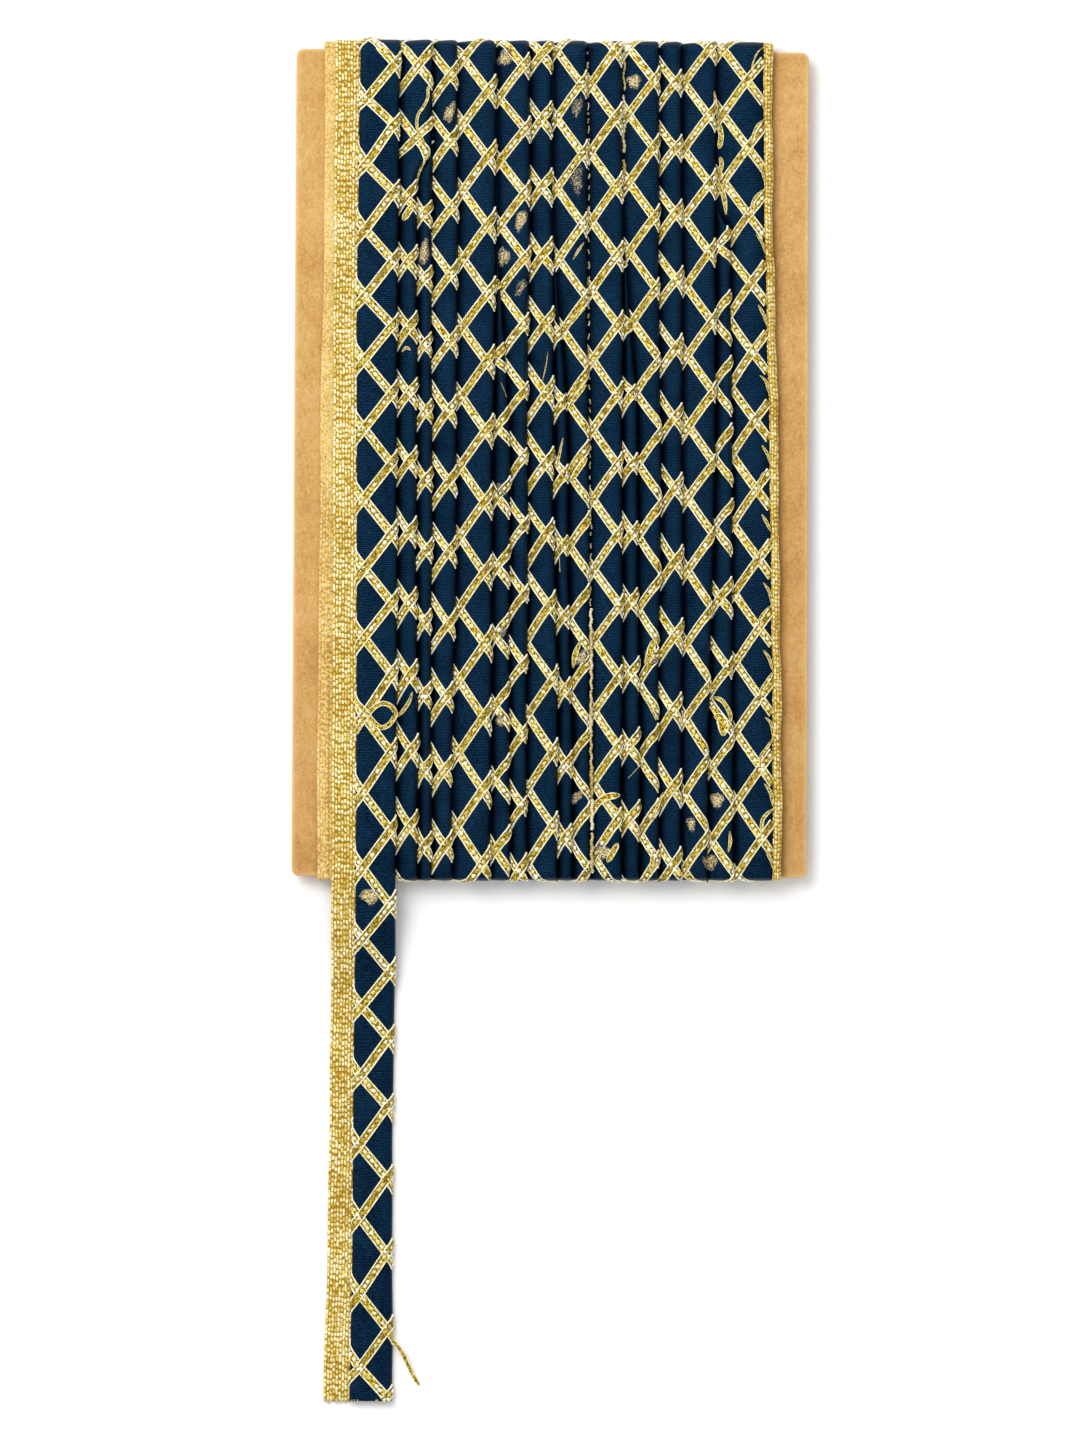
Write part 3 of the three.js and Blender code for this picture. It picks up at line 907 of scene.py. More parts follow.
def band_lines(strip, phase, first_s, last_s):
    """Centre lines of the bands between two places on the strip: arrays of s and a, and which way."""
    low, high = np.interp([first_s, last_s], strip.s, phase)
    lines = []
    for j in range(math.ceil(low) - 1, math.floor(high) + 2):
        i = int(np.clip(np.searchsorted(phase, j), NEAR, len(phase) - NEAR - 1))
        visible = float(strip.visible[i - NEAR:i + NEAR + 1].max())
        if visible < LEAST_SHOWN:
            continue
        right_a, left_a, far_a = crossing_places(strip, i, visible)
        end = LAST_A_END if strip.turn[i] == 0 else A_END
        coarse = np.arange(far_a, FINE_TO, -COARSE_STEP)
        a = np.concatenate([coarse, np.arange(min(far_a, FINE_TO), end, -FINE_STEP)])
        q = (left_a - a) / (left_a - right_a)
        for way in (1, -1):
            at = j + way * 0.5 * q
            keep = np.flatnonzero((at >= low) & (at <= high))
            if len(keep) > 2:
                keep = np.arange(max(keep[0] - 1, 0), min(keep[-1] + 2, len(a)))
                lines.append((np.interp(at, phase, strip.s)[keep], a[keep], way))
    return lines


# Half a band from its middle out: places in half widths, heights, and where its cord is
BAND_HALF = (
    (0.0, 0.15, 0.0),
    (0.70, 0.10, 0.0),
    (0.76, 0.18, 1.0),
    (0.87, 0.30, 1.0),
    (0.98, 0.20, 1.0),
    (1.0, -0.05, 1.0),
)
BAND_PROFILE = tuple((-x, height, cord) for x, height, cord in BAND_HALF[:0:-1]) + BAND_HALF
# Of two bands that cross, the one that falls to the left lies on top, and painted shade makes it and its
# beads darker
BAND_RAISED, BAND_PAINTED_SHADE, BEAD_TINT = {1: 0.05, -1: 0.26}, {1: 0.0, -1: 1.0}, {1: 0.58, -1: 0.30}
# Shifts the streaks, so that they aren't alike from band to band
STREAK_SHIFT = 1.7


def band_side(s, a):
    ds, da = np.gradient(s), np.gradient(a)
    length = np.maximum(np.hypot(ds, da), 1e-6)
    return -da / length, ds / length


def add_band(parts, strip, s, a, way, half):
    profile = np.array(BAND_PROFILE)
    side_s, side_a = band_side(s, a)
    offset = profile[:, 0] * half
    s_grid = s[:, None] + side_s[:, None] * offset
    a_grid = a[:, None] + side_a[:, None] * offset
    lift = np.broadcast_to(profile[:, 1] + BAND_RAISED[way] * (profile[:, 1] > 0), s_grid.shape)
    points = strip.at(s_grid, a_grid, lift)
    uv = grid_uv(run_along(s, a) + STREAK_SHIFT * s[0], offset)
    edge = np.broadcast_to(profile[:, 2], s_grid.shape)
    parts.add(points, grid_faces(len(s), len(profile)), uv, edge=edge, dim=BAND_PAINTED_SHADE[way])


# A bead: rings as rise and spread, and its half sizes along, across and up
BEAD_RINGS = ((0.0, 1.0), (0.62, 0.80), (0.94, 0.34))
BEAD_SIDES = 6
BEAD_SIZE = (0.74, 0.52, 0.34)
# A row of beads: its pitch, where it starts and ends on its band, the share that is missing, how far
# they are astray and above the band, and how their sizes and tints vary
BEAD_PITCH = 1.75
FIRST_BEAD, LAST_BEAD = (0.3, 1.2), 0.5
BEAD_MISSING, BEAD_ASTRAY, BEAD_LIFT = 0.08, 0.15, 0.1
BEAD_SIZES, BEAD_TINTS = (0.75, 1.15), (-0.25, 0.3)


def bead_shape():
    """Half an egg: its points along, across and up, and its faces."""
    points = []
    for rise, spread in BEAD_RINGS:
        for k in range(BEAD_SIDES):
            t = 2 * math.pi * k / BEAD_SIDES
            points.append((spread * math.cos(t), spread * math.sin(t), rise))
    points.append((0.0, 0.0, 1.0))
    faces = []
    for ring in range(len(BEAD_RINGS) - 1):
        for k in range(BEAD_SIDES):
            low, high = ring * BEAD_SIDES, (ring + 1) * BEAD_SIDES
            n = (k + 1) % BEAD_SIDES
            faces.append([low + k, low + n, high + n])
            faces.append([low + k, high + n, high + k])
    top = len(points) - 1
    for k in range(BEAD_SIDES):
        faces.append([top - BEAD_SIDES + k, top - BEAD_SIDES + (k + 1) % BEAD_SIDES, top])
    return np.array(points), np.array(faces)


BEAD_POINTS, BEAD_FACES = bead_shape()


def add_beads(parts, strip, s, a, way):
    """A row of beads down the middle of a band."""
    run = run_along(s, a)
    places = np.arange(rng.uniform(*FIRST_BEAD), run[-1] - LAST_BEAD, BEAD_PITCH)
    places = places[rng.random(len(places)) > BEAD_MISSING]
    if len(places) == 0:
        return
    places = places + rng.uniform(-BEAD_ASTRAY, BEAD_ASTRAY, len(places))
    ahead = np.minimum(places + 0.4, run[-1])
    s_at, a_at = np.interp(places, run, s), np.interp(places, run, a)
    s_to, a_to = np.interp(ahead, run, s), np.interp(ahead, run, a)
    lift = np.full(len(places), BAND_RAISED[way] + BEAD_LIFT)
    centre = strip.at(s_at, a_at, lift)
    along = unit(strip.at(s_to, a_to, lift) - centre)
    up = strip.at(s_at, a_at, lift + 1.0) - centre
    axes = np.stack([along, np.cross(up, along), up], 1)
    for middle, directions in zip(centre, axes):
        size = np.array(BEAD_SIZE) * rng.uniform(*BEAD_SIZES)
        points = middle + (BEAD_POINTS * size) @ directions
        tint = BEAD_TINT[way] + rng.uniform(*BEAD_TINTS)
        parts.add(points, BEAD_FACES, np.zeros((len(points), 2)), tint=tint)


# The least and the largest share of its width that a band may have
BAND_WIDTHS = (0.93, 1.06)


def trellis(name, strip, phase, first, last, sides, width=BAND_WIDTH):
    """The bands and beads between two stations, on the front or on the back or on both."""
    bands, beads = Parts(), Parts()
    for s, a, way in band_lines(strip, phase, strip.s[first], strip.s[last]):
        side = np.interp(s[len(s) // 2], strip.s, strip.front) > 0.5
        if side not in sides:
            continue
        add_band(bands, strip, s, a, way, width / 2 * rng.uniform(*BAND_WIDTHS))
        add_beads(beads, strip, s, a, way)
    return [bands.build(name, [BRAID]), beads.build(name + "_beads", [BEAD])]


# Woven lips. A lip is a grid of points across and along, its face raised in rows of nubs.
NUB_ALONG, ROPE_NUB_ALONG, NUB_ACROSS = 1.57, 1.22, 0.89
# Shares of the pitch that a nub fills, how far it may be out of its place, and its least height and
# how much more it may have
CHAIN_LENGTH, NUB_LENGTH, NUB_WIDTH, NUB_ASTRAY = 0.96, 0.82, 0.82, 0.42
NUB_LEAST, NUB_MORE = 0.4, 0.75
# The columns of long nubs, like chain stitches
CHAINS = (0, 6)
# A lip's rim is drawn in and thin, and its weave is this much thinner than the whole
RIM_IN, RIM_SHARE, RIM_TONE, WEAVE_DOWN = 0.1, 0.3, 0.3, 0.3
PLAIN_TONE, PARTED_DEPTH = 0.42, 0.5


def chance(row, column, seed):
    value = np.sin(row * 12.9898 + column * 78.233 + seed) * 43758.5453
    return value - np.floor(value)


def nub_height(s, w, seed, pitch):
    """Nubs in rows and columns, long ones in the chains, and no two the same height."""
    column = np.floor(w / NUB_ACROSS)
    chain = np.isin(column, CHAINS)
    sway = 0.16 * np.sin(s / 5.3 + seed) + 0.1 * np.sin(column * 2.1 + s / 9.0)
    shifted = s / pitch + np.where(chain, 0.5, sway)
    row = np.floor(shifted)
    luck = chance(row, column, seed)
    length = np.where(chain, CHAIN_LENGTH, NUB_LENGTH)
    u = (shifted - row - 0.5 + NUB_ASTRAY * (luck - 0.5)) * 2 / length
    v = (w / NUB_ACROSS - column - 0.5) * 2 / NUB_WIDTH
    bulge = np.clip(1 - u * u, 0, 1) ** 0.5 * np.clip(1 - v * v, 0, 1) ** 0.5
    return bulge * (NUB_LEAST + NUB_MORE * chance(row, column, seed + 5.3))


def woven_lip(name, frames, material, relief, seed, steps, crown=0.0, ring=False,
              parted=None, pitch=NUB_ALONG):
    """frames is a length and a function of s giving (left, right, place, base, thickness, plain)."""
    length, section = frames
    rows = int(length / steps[0])
    left, right = section(0.0)[:2]
    columns = max(8, int(round((right - left) / steps[1])))
    points, nubs = [], []
    for i in range(rows):
        s = length * i / (rows if ring else rows - 1)
        left, right, place, base, thick, plain = section(s)
        w = np.linspace(0, right - left, columns)
        x = left + w
        nub = nub_height(s, w, seed, pitch) * (1 - plain)
        arch = (2 * w / (right - left) - 1) ** 2
        height = base + (thick - WEAVE_DOWN) * (1 - crown * arch) + relief * nub
        # The nub's height sets its tone: painted highlights on the tops, painted shade in the hollows
        # and at the rim
        tone = mix(nub, PLAIN_TONE, plain)
        if parted is not None:
            tone = tone - PARTED_DEPTH * parted(x, s)
        rim = base + RIM_SHARE * thick
        outline = [(left + RIM_IN, base, 0.0), (left, rim, RIM_TONE)]
        outline += zip(x[1:-1], height[1:-1], tone[1:-1])
        outline += [(right, rim, RIM_TONE), (right - RIM_IN, base, 0.0)]
        points.append([(a, *place(b)) for a, b, c in outline])
        nubs.append([c for a, b, c in outline])
    faces = tube_faces(rows, len(points[0]), joined=ring)
    return make_object(name, np.array(points), faces, [material], None, {"nub": np.array(nubs)})


# How far a lip runs as it turns over the card's bottom edge and its top edge
BOTTOM_TURN, TOP_TURN = 8.0, 10.0


def loop_section(left_of, right_of, height, plain_at):
    """A ring round the card: front, bottom edge, back and top edge, as a function of s."""
    run = EDGE_TOP - EDGE_BOTTOM
    length = 2 * run + BOTTOM_TURN + TOP_TURN

    def section(s):
        if s < run:
            y = EDGE_TOP - s
            place = face_place(y, 1)
        elif s < run + BOTTOM_TURN:
            y = EDGE_BOTTOM
            place = edge_place("bottom", math.pi * (s - run) / BOTTOM_TURN)
        elif s < 2 * run + BOTTOM_TURN:
            y = EDGE_BOTTOM + (s - run - BOTTOM_TURN)
            place = face_place(y, -1)
        else:
            y = EDGE_TOP
            place = edge_place("top", math.pi * (1 - (s - 2 * run - BOTTOM_TURN) / TOP_TURN))
        return left_of(y), right_of(y), place, CARD_GAP, height, plain_at(y)

    return length, section


# How far the last lip's edges are drawn in at each stitch, and how far and over what length they sway
SCALLOP_DEPTH, SCALLOP_SWAY, SCALLOP_LENGTH = 0.16, 0.1, 7.0


def scallop(y, seed):
    """An edge drawn in a little at each stitch."""
    stitch = abs(math.sin(math.pi * y / (2 * NUB_ALONG) + seed))
    return SCALLOP_DEPTH * stitch + SCALLOP_SWAY * math.sin(y / SCALLOP_LENGTH + seed)


# The last lip: how far it runs over the top edge, its underside's height, and how far it reaches past
# its left edge and under the seam
LIP_OVER_TOP, LIP_BASE, LIP_OUT, LIP_UNDER_SEAM = 9.0, 1.75, 0.1, 0.25


def last_lip_section():
    """The last turn's lip: from the top of the back, over the edge, down the front, to the cut end."""
    over, base = LIP_OVER_TOP, LIP_BASE
    length = over + EDGE_TOP - TAIL_END

    def section(s):
        if s < over:
            y = EDGE_TOP
            place = edge_place("top", math.pi * (1 - s / over))
        else:
            y = EDGE_TOP - (s - over)
            place = loose_place(y, base)
        left = tail_value(TAIL_LIP_LEFT, y) + scallop(y, seed=0.4) - LIP_OUT
        right = tail_value(TAIL_SEAM, y) + LIP_UNDER_SEAM - scallop(y, seed=1.9)
        return left, right, place, base, LIP_THICKNESS, 0.0

    return length, section


# The lip on the back: how far it reaches from the strip and over it, and its underside's height
BACK_LIP_WIDTH, BACK_LIP_OVER, BACK_LIP_BASE = 7.4, 0.1, 1.2


def back_lip_section():
    length = EDGE_TOP - EDGE_BOTTOM

    def section(s):
        y = EDGE_BOTTOM + s
        seam = back_edges(0, y)[0]
        left, right = seam - BACK_LIP_WIDTH, seam + BACK_LIP_OVER
        return left, right, face_place(y, -1), BACK_LIP_BASE, LIP_THICKNESS, 0.0

    return length, section


def rope_left(y):
    return across_rows(RIGHT_LIP, y) + waves(ROPE_WAVES, y)


def right_lip(name):
    """The rolled gold edge at the right: a half-round ring of nubs."""

    def right_of(y):
        return rope_left(y) + RIGHT_LIP_WIDTH + waves(ROPE_OUTER_WAVES, y)

    frames = loop_section(rope_left, right_of, height=3.1, plain_at=lambda y: 0.1)
    return woven_lip(name, frames, WEAVE, relief=0.3, seed=3.1, steps=(0.3, 0.22), crown=0.42,
                     ring=True, pitch=ROPE_NUB_ALONG)


# The chain of holes in the left lip: its place across, half width and pitch, and where it fades out
PARTED_AT, PARTED_HALF, PARTED_PITCH = -66.7, 0.5, 1.45
PARTED_TOP, PARTED_FADE = 42.0, 22.0


def parted_threads(x, s):
    """Low on the front of the left lip its threads part in a chain of small dark holes."""
    y = EDGE_TOP - s
    low = smooth((PARTED_TOP - y) / PARTED_FADE)
    holes = max(0.15, math.sin(2 * math.pi * y / PARTED_PITCH))
    return low * holes * np.clip(1 - ((x - PARTED_AT) / PARTED_HALF) ** 2, 0, 1)


# How plain the left lip's weave is low down, how much plainer it gets, and over which heights
PLAIN_LOW, PLAIN_MORE, PLAIN_FROM, PLAIN_OVER = 0.4, 0.4, 40.0, 90.0


def left_lip(name):
    def left_of(y):
        return across_rows(LEFT_LIP, y) + waves(LIP_WAVES, y)

    def plain_at(y):
        return PLAIN_LOW + float(smooth((y - PLAIN_FROM) / PLAIN_OVER)) * PLAIN_MORE

    frames = loop_section(left_of, lambda y: LEFT_LIP_RIGHT, height=1.2, plain_at=plain_at)
    return woven_lip(name, frames, PALE_WEAVE, relief=0.22, seed=8.4, steps=(0.3, 0.25), ring=True,
                     parted=parted_threads)


# The hidden turns: their edges, thickness, rings down their length, and shade
UNDER_LEFT, UNDER_RIGHT, UNDER_THICK, UNDER_ROWS, UNDER_SHADE = -59.3, -44.5, 0.55, 160, 0.6


def under_wrap():
    """The turns hidden under the last one, which close the winding at its left side."""
    frames = loop_section(lambda y: UNDER_LEFT, lambda y: UNDER_RIGHT, UNDER_THICK, lambda y: 1.0)
    length, section = frames
    points = []
    for i in range(UNDER_ROWS):
        left, right, place, base, thick = section(length * i / UNDER_ROWS)[:5]
        top = base + thick
        outline = [(left, base), (right, base), (right, top), (left, top)]
        points.append([(x, *place(h)) for x, h in outline])
    faces = tube_faces(UNDER_ROWS, 4, joined=True)
    uv = np.zeros((UNDER_ROWS * 4, 2))
    shade = {"shade": np.full(UNDER_ROWS * 4, UNDER_SHADE)}
    return make_object("under_turns", np.array(points), faces, [SATIN], uv, shade, False)


# The card's corners in the photo, from the top left round to the bottom left
CARD_CORNERS_PX = ((296.5, 48.5), (809.0, 52.5), (807.0, 878.0), (291.5, 876.0))
# The radius of its corners, the softness of its rims, and the points of each corner
CARD_RADIUS, CARD_SOFT, CORNER_POINTS = 2.2, 0.4, 8


def out_of_square(x, y):
    """A point of the square board, moved to where the photo has it."""
    middle, half = (card_low + card_high) / 2, (card_high - card_low) / 2
    u, v = (x - middle[0]) / half[0], (y - middle[1]) / half[1]
    signs = ((-1, 1), (1, 1), (1, -1), (-1, -1))
    corners = [photo_point(*corner) for corner in CARD_CORNERS_PX]
    return sum((1 + a * u) * (1 + b * v) / 4 * corner for (a, b), corner in zip(signs, corners))


def kraft_card():
    """The board: rounded corners, softened rims and a flat face, a little out of square."""
    middle, half = (card_low + card_high) / 2, (card_high - card_low) / 2
    low, high = card_low[2], card_high[2]
    rings = ((low, CARD_SOFT, 0.6), (low + CARD_SOFT, 0.0, 1.0), (high - CARD_SOFT, 0.0, 1.0),
             (high - 0.1, 0.15, 1.0), (high, CARD_SOFT, 0.8), (high, 1.0, 0.25), (high, 2.0, 0.0))
    points, rim = [], []
    for z, inset, worn in rings:
        for a, b, start in ((1, 1, 0), (-1, 1, 90), (-1, -1, 180), (1, -1, 270)):
            cx = middle[0] + a * (half[0] - CARD_RADIUS)
            cy = middle[1] + b * (half[1] - CARD_RADIUS)
            reach = CARD_RADIUS - inset
            for t in np.radians(np.linspace(start, start + 90, CORNER_POINTS)):
                x, y = out_of_square(cx + reach * math.cos(t), cy + reach * math.sin(t))
                points.append((x, y, z))
                rim.append(worn)
    faces = tube_faces(len(rings), 4 * CORNER_POINTS)
    return make_object("kraft_card", np.array(points), faces, [KRAFT], None, {"rim": rim}, False, False)


# Loose and stray parts. Their paths are columns and rows of the photo.
class Surface:
    """What has been laid so far, to rest loose parts on. Heights in mm."""

    def __init__(self, pieces):
        vertices, faces = [], []
        for piece in pieces:
            start = len(vertices)
            vertices += [v.co / MM for v in piece.data.vertices]
            faces += [[start + i for i in p.vertices] for p in piece.data.polygons]
        self.tree = BVHTree.FromPolygons(vertices, faces)

    def height(self, x, y):
        hit = self.tree.ray_cast(Vector((x, y, 60.0)), Vector((0.0, 0.0, -1.0)))
        return hit[0].z if hit[0] else 0.0

    def heights(self, line):
        return np.array([self.height(*point) for point in line])


def evened(values):
    """Values along a line, each made the mean of five."""
    return np.convolve(np.pad(values, 2, mode="edge"), np.full(5, 0.2), "valid")


def curve_through(points, step):
    """A smooth curve through points in mm, as points about step apart."""
    points = np.asarray(points, float)
    padded = np.vstack([2 * points[0] - points[1], points, 2 * points[-1] - points[-2]])
    made = []
    for a, b, c, d in zip(padded, padded[1:], padded[2:], padded[3:]):
        count = max(2, int(np.linalg.norm(c - b) / step))
        for t in np.linspace(0, 1, count, endpoint=False):
            bend = (2 * a - 5 * b + 4 * c - d) * t * t + (3 * b - a - 3 * c + d) * t**3
            made.append(0.5 * (2 * b + (c - a) * t + bend))
    made.append(points[-1])
    return np.array(made)


def sides_of(line):
    """Unit vectors in the plan across a curve."""
    along = unit(np.gradient(line, axis=0))
    return np.stack([-along[:, 1], along[:, 0]], 1)


def resting_heights(surface, line, half):
    """Heights of the surface under a ribbon of this half width, evened out along it."""
    heights = []
    for point, across in zip(line, sides_of(line)):
        near = surface.heights([point + across * half * k for k in (-0.9, 0.0, 0.9)])
        heights.append(0.6 * near.max() + 0.4 * near.mean())
    return evened(heights)


RIBBON_UNDERSIDE = ((0.9, -0.12, 0.3), (-0.9, -0.12, 0.3))
RIBBON_STEP, RIBBON_DIM, RIBBON_TIP, RIBBON_THINNEST = 0.45, 0.3, 0.2, 0.35


def add_ribbon(parts, surface, path_px, width, lift=0.0, taper=0.0, heights=None):
    """A length of loose braid along a path, resting on what lies under it or at given heights."""
    line = curve_through([photo_point(*p) for p in path_px], RIBBON_STEP)
    share = np.linspace(0, 1, len(line))
    if heights is None:
        rest = resting_heights(surface, line, width / 2) + lift
    else:
        rest = np.interp(share, np.linspace(0, 1, len(heights)), heights)
    ends = np.minimum(share, 1 - share) / max(taper, 1e-6)
    half = width / 2 * (RIBBON_TIP + (1 - RIBBON_TIP) * np.clip(ends, 0, 1) ** 0.7)
    if taper == 0.0:
        half = np.full(len(line), width / 2)
    profile = np.array(BAND_PROFILE + RIBBON_UNDERSIDE)
    side = sides_of(line)
    plan = line[:, None, :] + side[:, None, :] * (half[:, None] * profile[:, 0])[..., None]
    slim = np.clip(half * 2 / BAND_WIDTH, RIBBON_THINNEST, 1.0)
    z = rest[:, None] + profile[:, 1] * slim[:, None]
    points = np.concatenate([plan, z[..., None]], 2)
    uv = grid_uv(run_along(line[:, 0], line[:, 1]), profile[:, 0])
    faces = grid_faces(len(line), len(profile), ring=True)
    parts.add(points, faces, uv, edge=np.broadcast_to(profile[:, 2], z.shape), dim=RIBBON_DIM)


CORD_SIDES = 6
CORD_PALE, CORD_PALER = 0.1, 0.55


def add_cord(parts, line, heights, radius):
    """A round thread along a line in the plan, its middle at these heights."""
    side = sides_of(line)
    t = 2 * math.pi * np.arange(CORD_SIDES) / CORD_SIDES
    thick = np.broadcast_to(radius, len(line))[:, None]
    plan = line[:, None, :] + side[:, None, :] * (thick * np.cos(t))[..., None]
    z = heights[:, None] + thick * np.sin(t)
    points = np.concatenate([plan, z[..., None]], 2)
    uv = np.zeros((len(line) * CORD_SIDES, 2))
    faces = grid_faces(len(line), CORD_SIDES, ring=True)
    pale = CORD_PALE + CORD_PALER * rng.random()
    parts.add(points, faces, uv, edge=pale, dim=RIBBON_DIM)


# Each stray piece of braid: its path, its width in mm and how far its ends taper
STRAY_BRAID = (
    # The loop on the last turn and its tan end
    (((356, 733), (363, 722), (371, 711), (378, 705), (385, 703.5), (392, 707), (395.5, 713.5),
      (393, 720), (388, 725.5), (381, 727.5), (374, 722), (367, 713), (360, 705), (354, 700)), 1.5, 0.0),
    (((393, 718), (400, 714), (406, 707), (410, 700), (412.5, 692)), 1.15, 0.35),
    # Folded braid between the second and third turns
    (((434, 83), (428.5, 89), (428, 98), (424, 107), (418.5, 115), (417, 125), (419.5, 135),
      (425, 144)), 0.85, 0.1),
    (((413, 206), (408, 213), (403, 221)), 2.1, 0.25),
    (((402, 352), (406, 348), (411, 350.5)), 1.0, 0.4),
    (((430, 152), (424, 163), (419, 174), (417, 184)), 0.7, 0.3),
    # Bits that cross the eighth to tenth turns
    (((584, 243), (579, 250), (573, 260)), 0.85, 0.5),
    (((585, 309), (578, 315), (570, 326)), 1.1, 0.4),
    (((586, 385), (578, 394), (571, 405)), 1.5, 0.3),
    (((587, 458), (579, 469), (571, 481)), 1.7, 0.25),
    (((563, 438), (560, 452), (558, 465), (563, 478)), 0.8, 0.4),
    (((548, 352), (546, 366), (541, 387)), 0.35, 0.5),
    (((581, 640), (575, 655), (573, 668)), 1.7, 0.45),
    (((590, 816), (597, 804), (607, 797), (620, 795)), 2.1, 0.15),
    (((610, 803), (616, 810), (622, 812)), 1.4, 0.3),
    (((607, 862), (613, 852), (618, 843)), 1.8, 0.2),
    # The frayed edge down the groove beside the sixteenth turn
    (((714, 92), (716, 108), (718.5, 124)), 0.8, 0.2),
    (((719, 124), (721, 137), (719, 149)), 1.6, 0.15),
    (((720, 157), (721.5, 165), (719, 174)), 1.3, 0.2),
    (((715.5, 174), (718, 184), (722, 191), (724.5, 201), (726, 215)), 1.5, 0.35),
    (((737, 164), (731, 172), (725, 182), (723, 192)), 1.0, 0.3),
    (((729.5, 831), (730, 842), (728, 852)), 1.1, 0.45),
    # The bits at the lower right
    (((713, 697), (722, 701), (729, 712), (731, 722)), 1.3, 0.2),
    (((714, 716), (720, 718), (723, 726), (723, 736)), 3.3, 0.3),
    (((663, 792), (659, 802), (655, 812), (652, 822)), 1.0, 0.4),
    (((654, 850), (652, 862), (651, 874)), 1.3, 0.3),
    (((653, 640), (650, 655), (645, 664)), 2.6, 0.35),
    (((640, 690), (650, 705), (656, 720)), 1.2, 0.35),
)

# Loose threads: path and radius in mm
STRAY_THREADS = (
    (((501, 383), (504, 390), (507, 398)), 0.09),
    (((404, 672), (400, 681), (398, 690)), 0.1),
    (((628, 778), (634, 772), (641, 764)), 0.07),
    (((556, 540), (559, 555), (560, 572)), 0.12),
)

# Rubbed patches: middle, half width, half height, tilt in degrees, and how bare they are
PATCHES = (
    (505, 58, 8, 10, -15, 0.9),
    (450, 113, 6, 13, -20, 0.8),
    (634, 82, 8.5, 8.5, 0, 1.1),
    (577, 108, 6, 12, -15, 0.35),
    (577, 180, 7, 17, 0, 0.32),
    (521, 221, 6.5, 13, -20, 1.0),
    (424, 253, 6, 16, -8, 0.75),
    (504, 257, 7, 11, 0, 0.7),
    (521, 288, 5, 11, -30, 0.42),
    (501, 490, 5, 8, 30, 0.42),
    (503, 631, 4, 8, -10, 0.5),
    (500.5, 720, 5, 8, 0, 0.8),
    (717, 800, 8, 9, 10, 1.0),
    (603, 852, 9, 9, -30, 1.1),
    (710, 862, 9, 9, 0, 0.9),
    (691, 824, 5, 9, 10, 0.75),
    (577, 797, 5, 9, -40, 0.7),
    (370, 896, 11, 9.5, 0, 1.15),
    (581, 658, 6, 10, -30, 0.8),
    (651, 657, 8, 10, 25, 1.0),
)


PATCH_RINGS, PATCH_SPOKES, PATCH_RISE, PATCH_SINK, PATCH_FADE = 6, 18, 0.1, -0.08, 1.25
# A patch's rim is ragged: how much, and how often round it
RAGGED_WIDE, RAGGED_FINE = (0.12, 3), (0.08, 5)


def add_patch(parts, surface, patch):
    """A feathered patch just above the satin, its rim sunk into it."""
    column, row, half_width, half_height, tilt, bare = patch
    centre = photo_point(column, row)
    turn = math.radians(tilt)
    axis_x = np.array([math.cos(turn), math.sin(turn)]) * half_width * MM_PER_PX
    axis_y = np.array([-math.sin(turn), math.cos(turn)]) * half_height * MM_PER_PX
    last = PATCH_RINGS - 1
    (wide, few), (fine, many) = RAGGED_WIDE, RAGGED_FINE
    points, bareness = [], []
    for ring in range(PATCH_RINGS):
        for t in 2 * math.pi * np.arange(PATCH_SPOKES) / PATCH_SPOKES:
            ragged = 1 + wide * math.sin(few * t + column) + fine * math.sin(many * t + row)
            reach = (ring + 0.02) / last * ragged
            x, y = centre + axis_x * reach * math.cos(t) + axis_y * reach * math.sin(t)
            rise = PATCH_SINK if ring == last else PATCH_RISE
            points.append((x, y, surface.height(x, y) + rise))
            bareness.append(bare * (1 - (ring / last) ** 2 * PATCH_FADE))
    faces = grid_faces(PATCH_RINGS, PATCH_SPOKES, ring=True)
    uv = np.array(points)[:, 1::-1] * MM
    parts.add(points, faces, uv, bare=bareness, shade=0.0)


# Cord in the groove beside the tenth turn: rows of the photo between which it shows, the row below
# which it is thick and stands proud, and the height it has there
CORD_ROWS, CORD_FROM_ROW, CORD_HEIGHT, CORD_STEP = (52.0, 872.0, 874.0), 600.0, 8.3, 1.2
# Its lengths and gaps in rows, its radii in mm and how far it lies beside the edge, above and below
FINE_CORD = dict(lengths=(3, 8), gaps=(2, 9), radii=(0.18, 0.3), aside=0.35, height=0.0)
THICK_CORD = dict(lengths=(14, 40), gaps=(-2, 1.5), radii=(0.34, 0.58), aside=0.5, height=CORD_HEIGHT)
# Short cords beside the eleventh turn: first and last row of the photo, and radius in mm
SHORT_CORDS = ((56, 92, 0.34), (95, 120, 0.4), (124, 153, 0.5), (160, 178, 0.45))
SHORT_ASIDE = 0.5
CORD_TURN, SHORT_TURN = 9, 10
# How far cords swing to the side and how their radius varies, each with its rate down the rows
CORD_SWING, SHORT_SWING = (0.18, 0.55), (0.25, 0.31)
CORD_LUMPS, SHORT_LUMPS = (0.25, 1.9), (0.3, 1.3)


def beside_edge(index, rows, aside, swing):
    """Points beside a turn's right edge at rows of the photo."""
    y = y_of(rows)
    x = np.array([right_edge(index, value) for value in y]) + aside
    return np.stack([x + swing[0] * np.sin(rows * swing[1]), y], 1)


def lumpy(radius, rows, lumps):
    return radius * (1 + lumps[0] * np.sin(rows * lumps[1]))


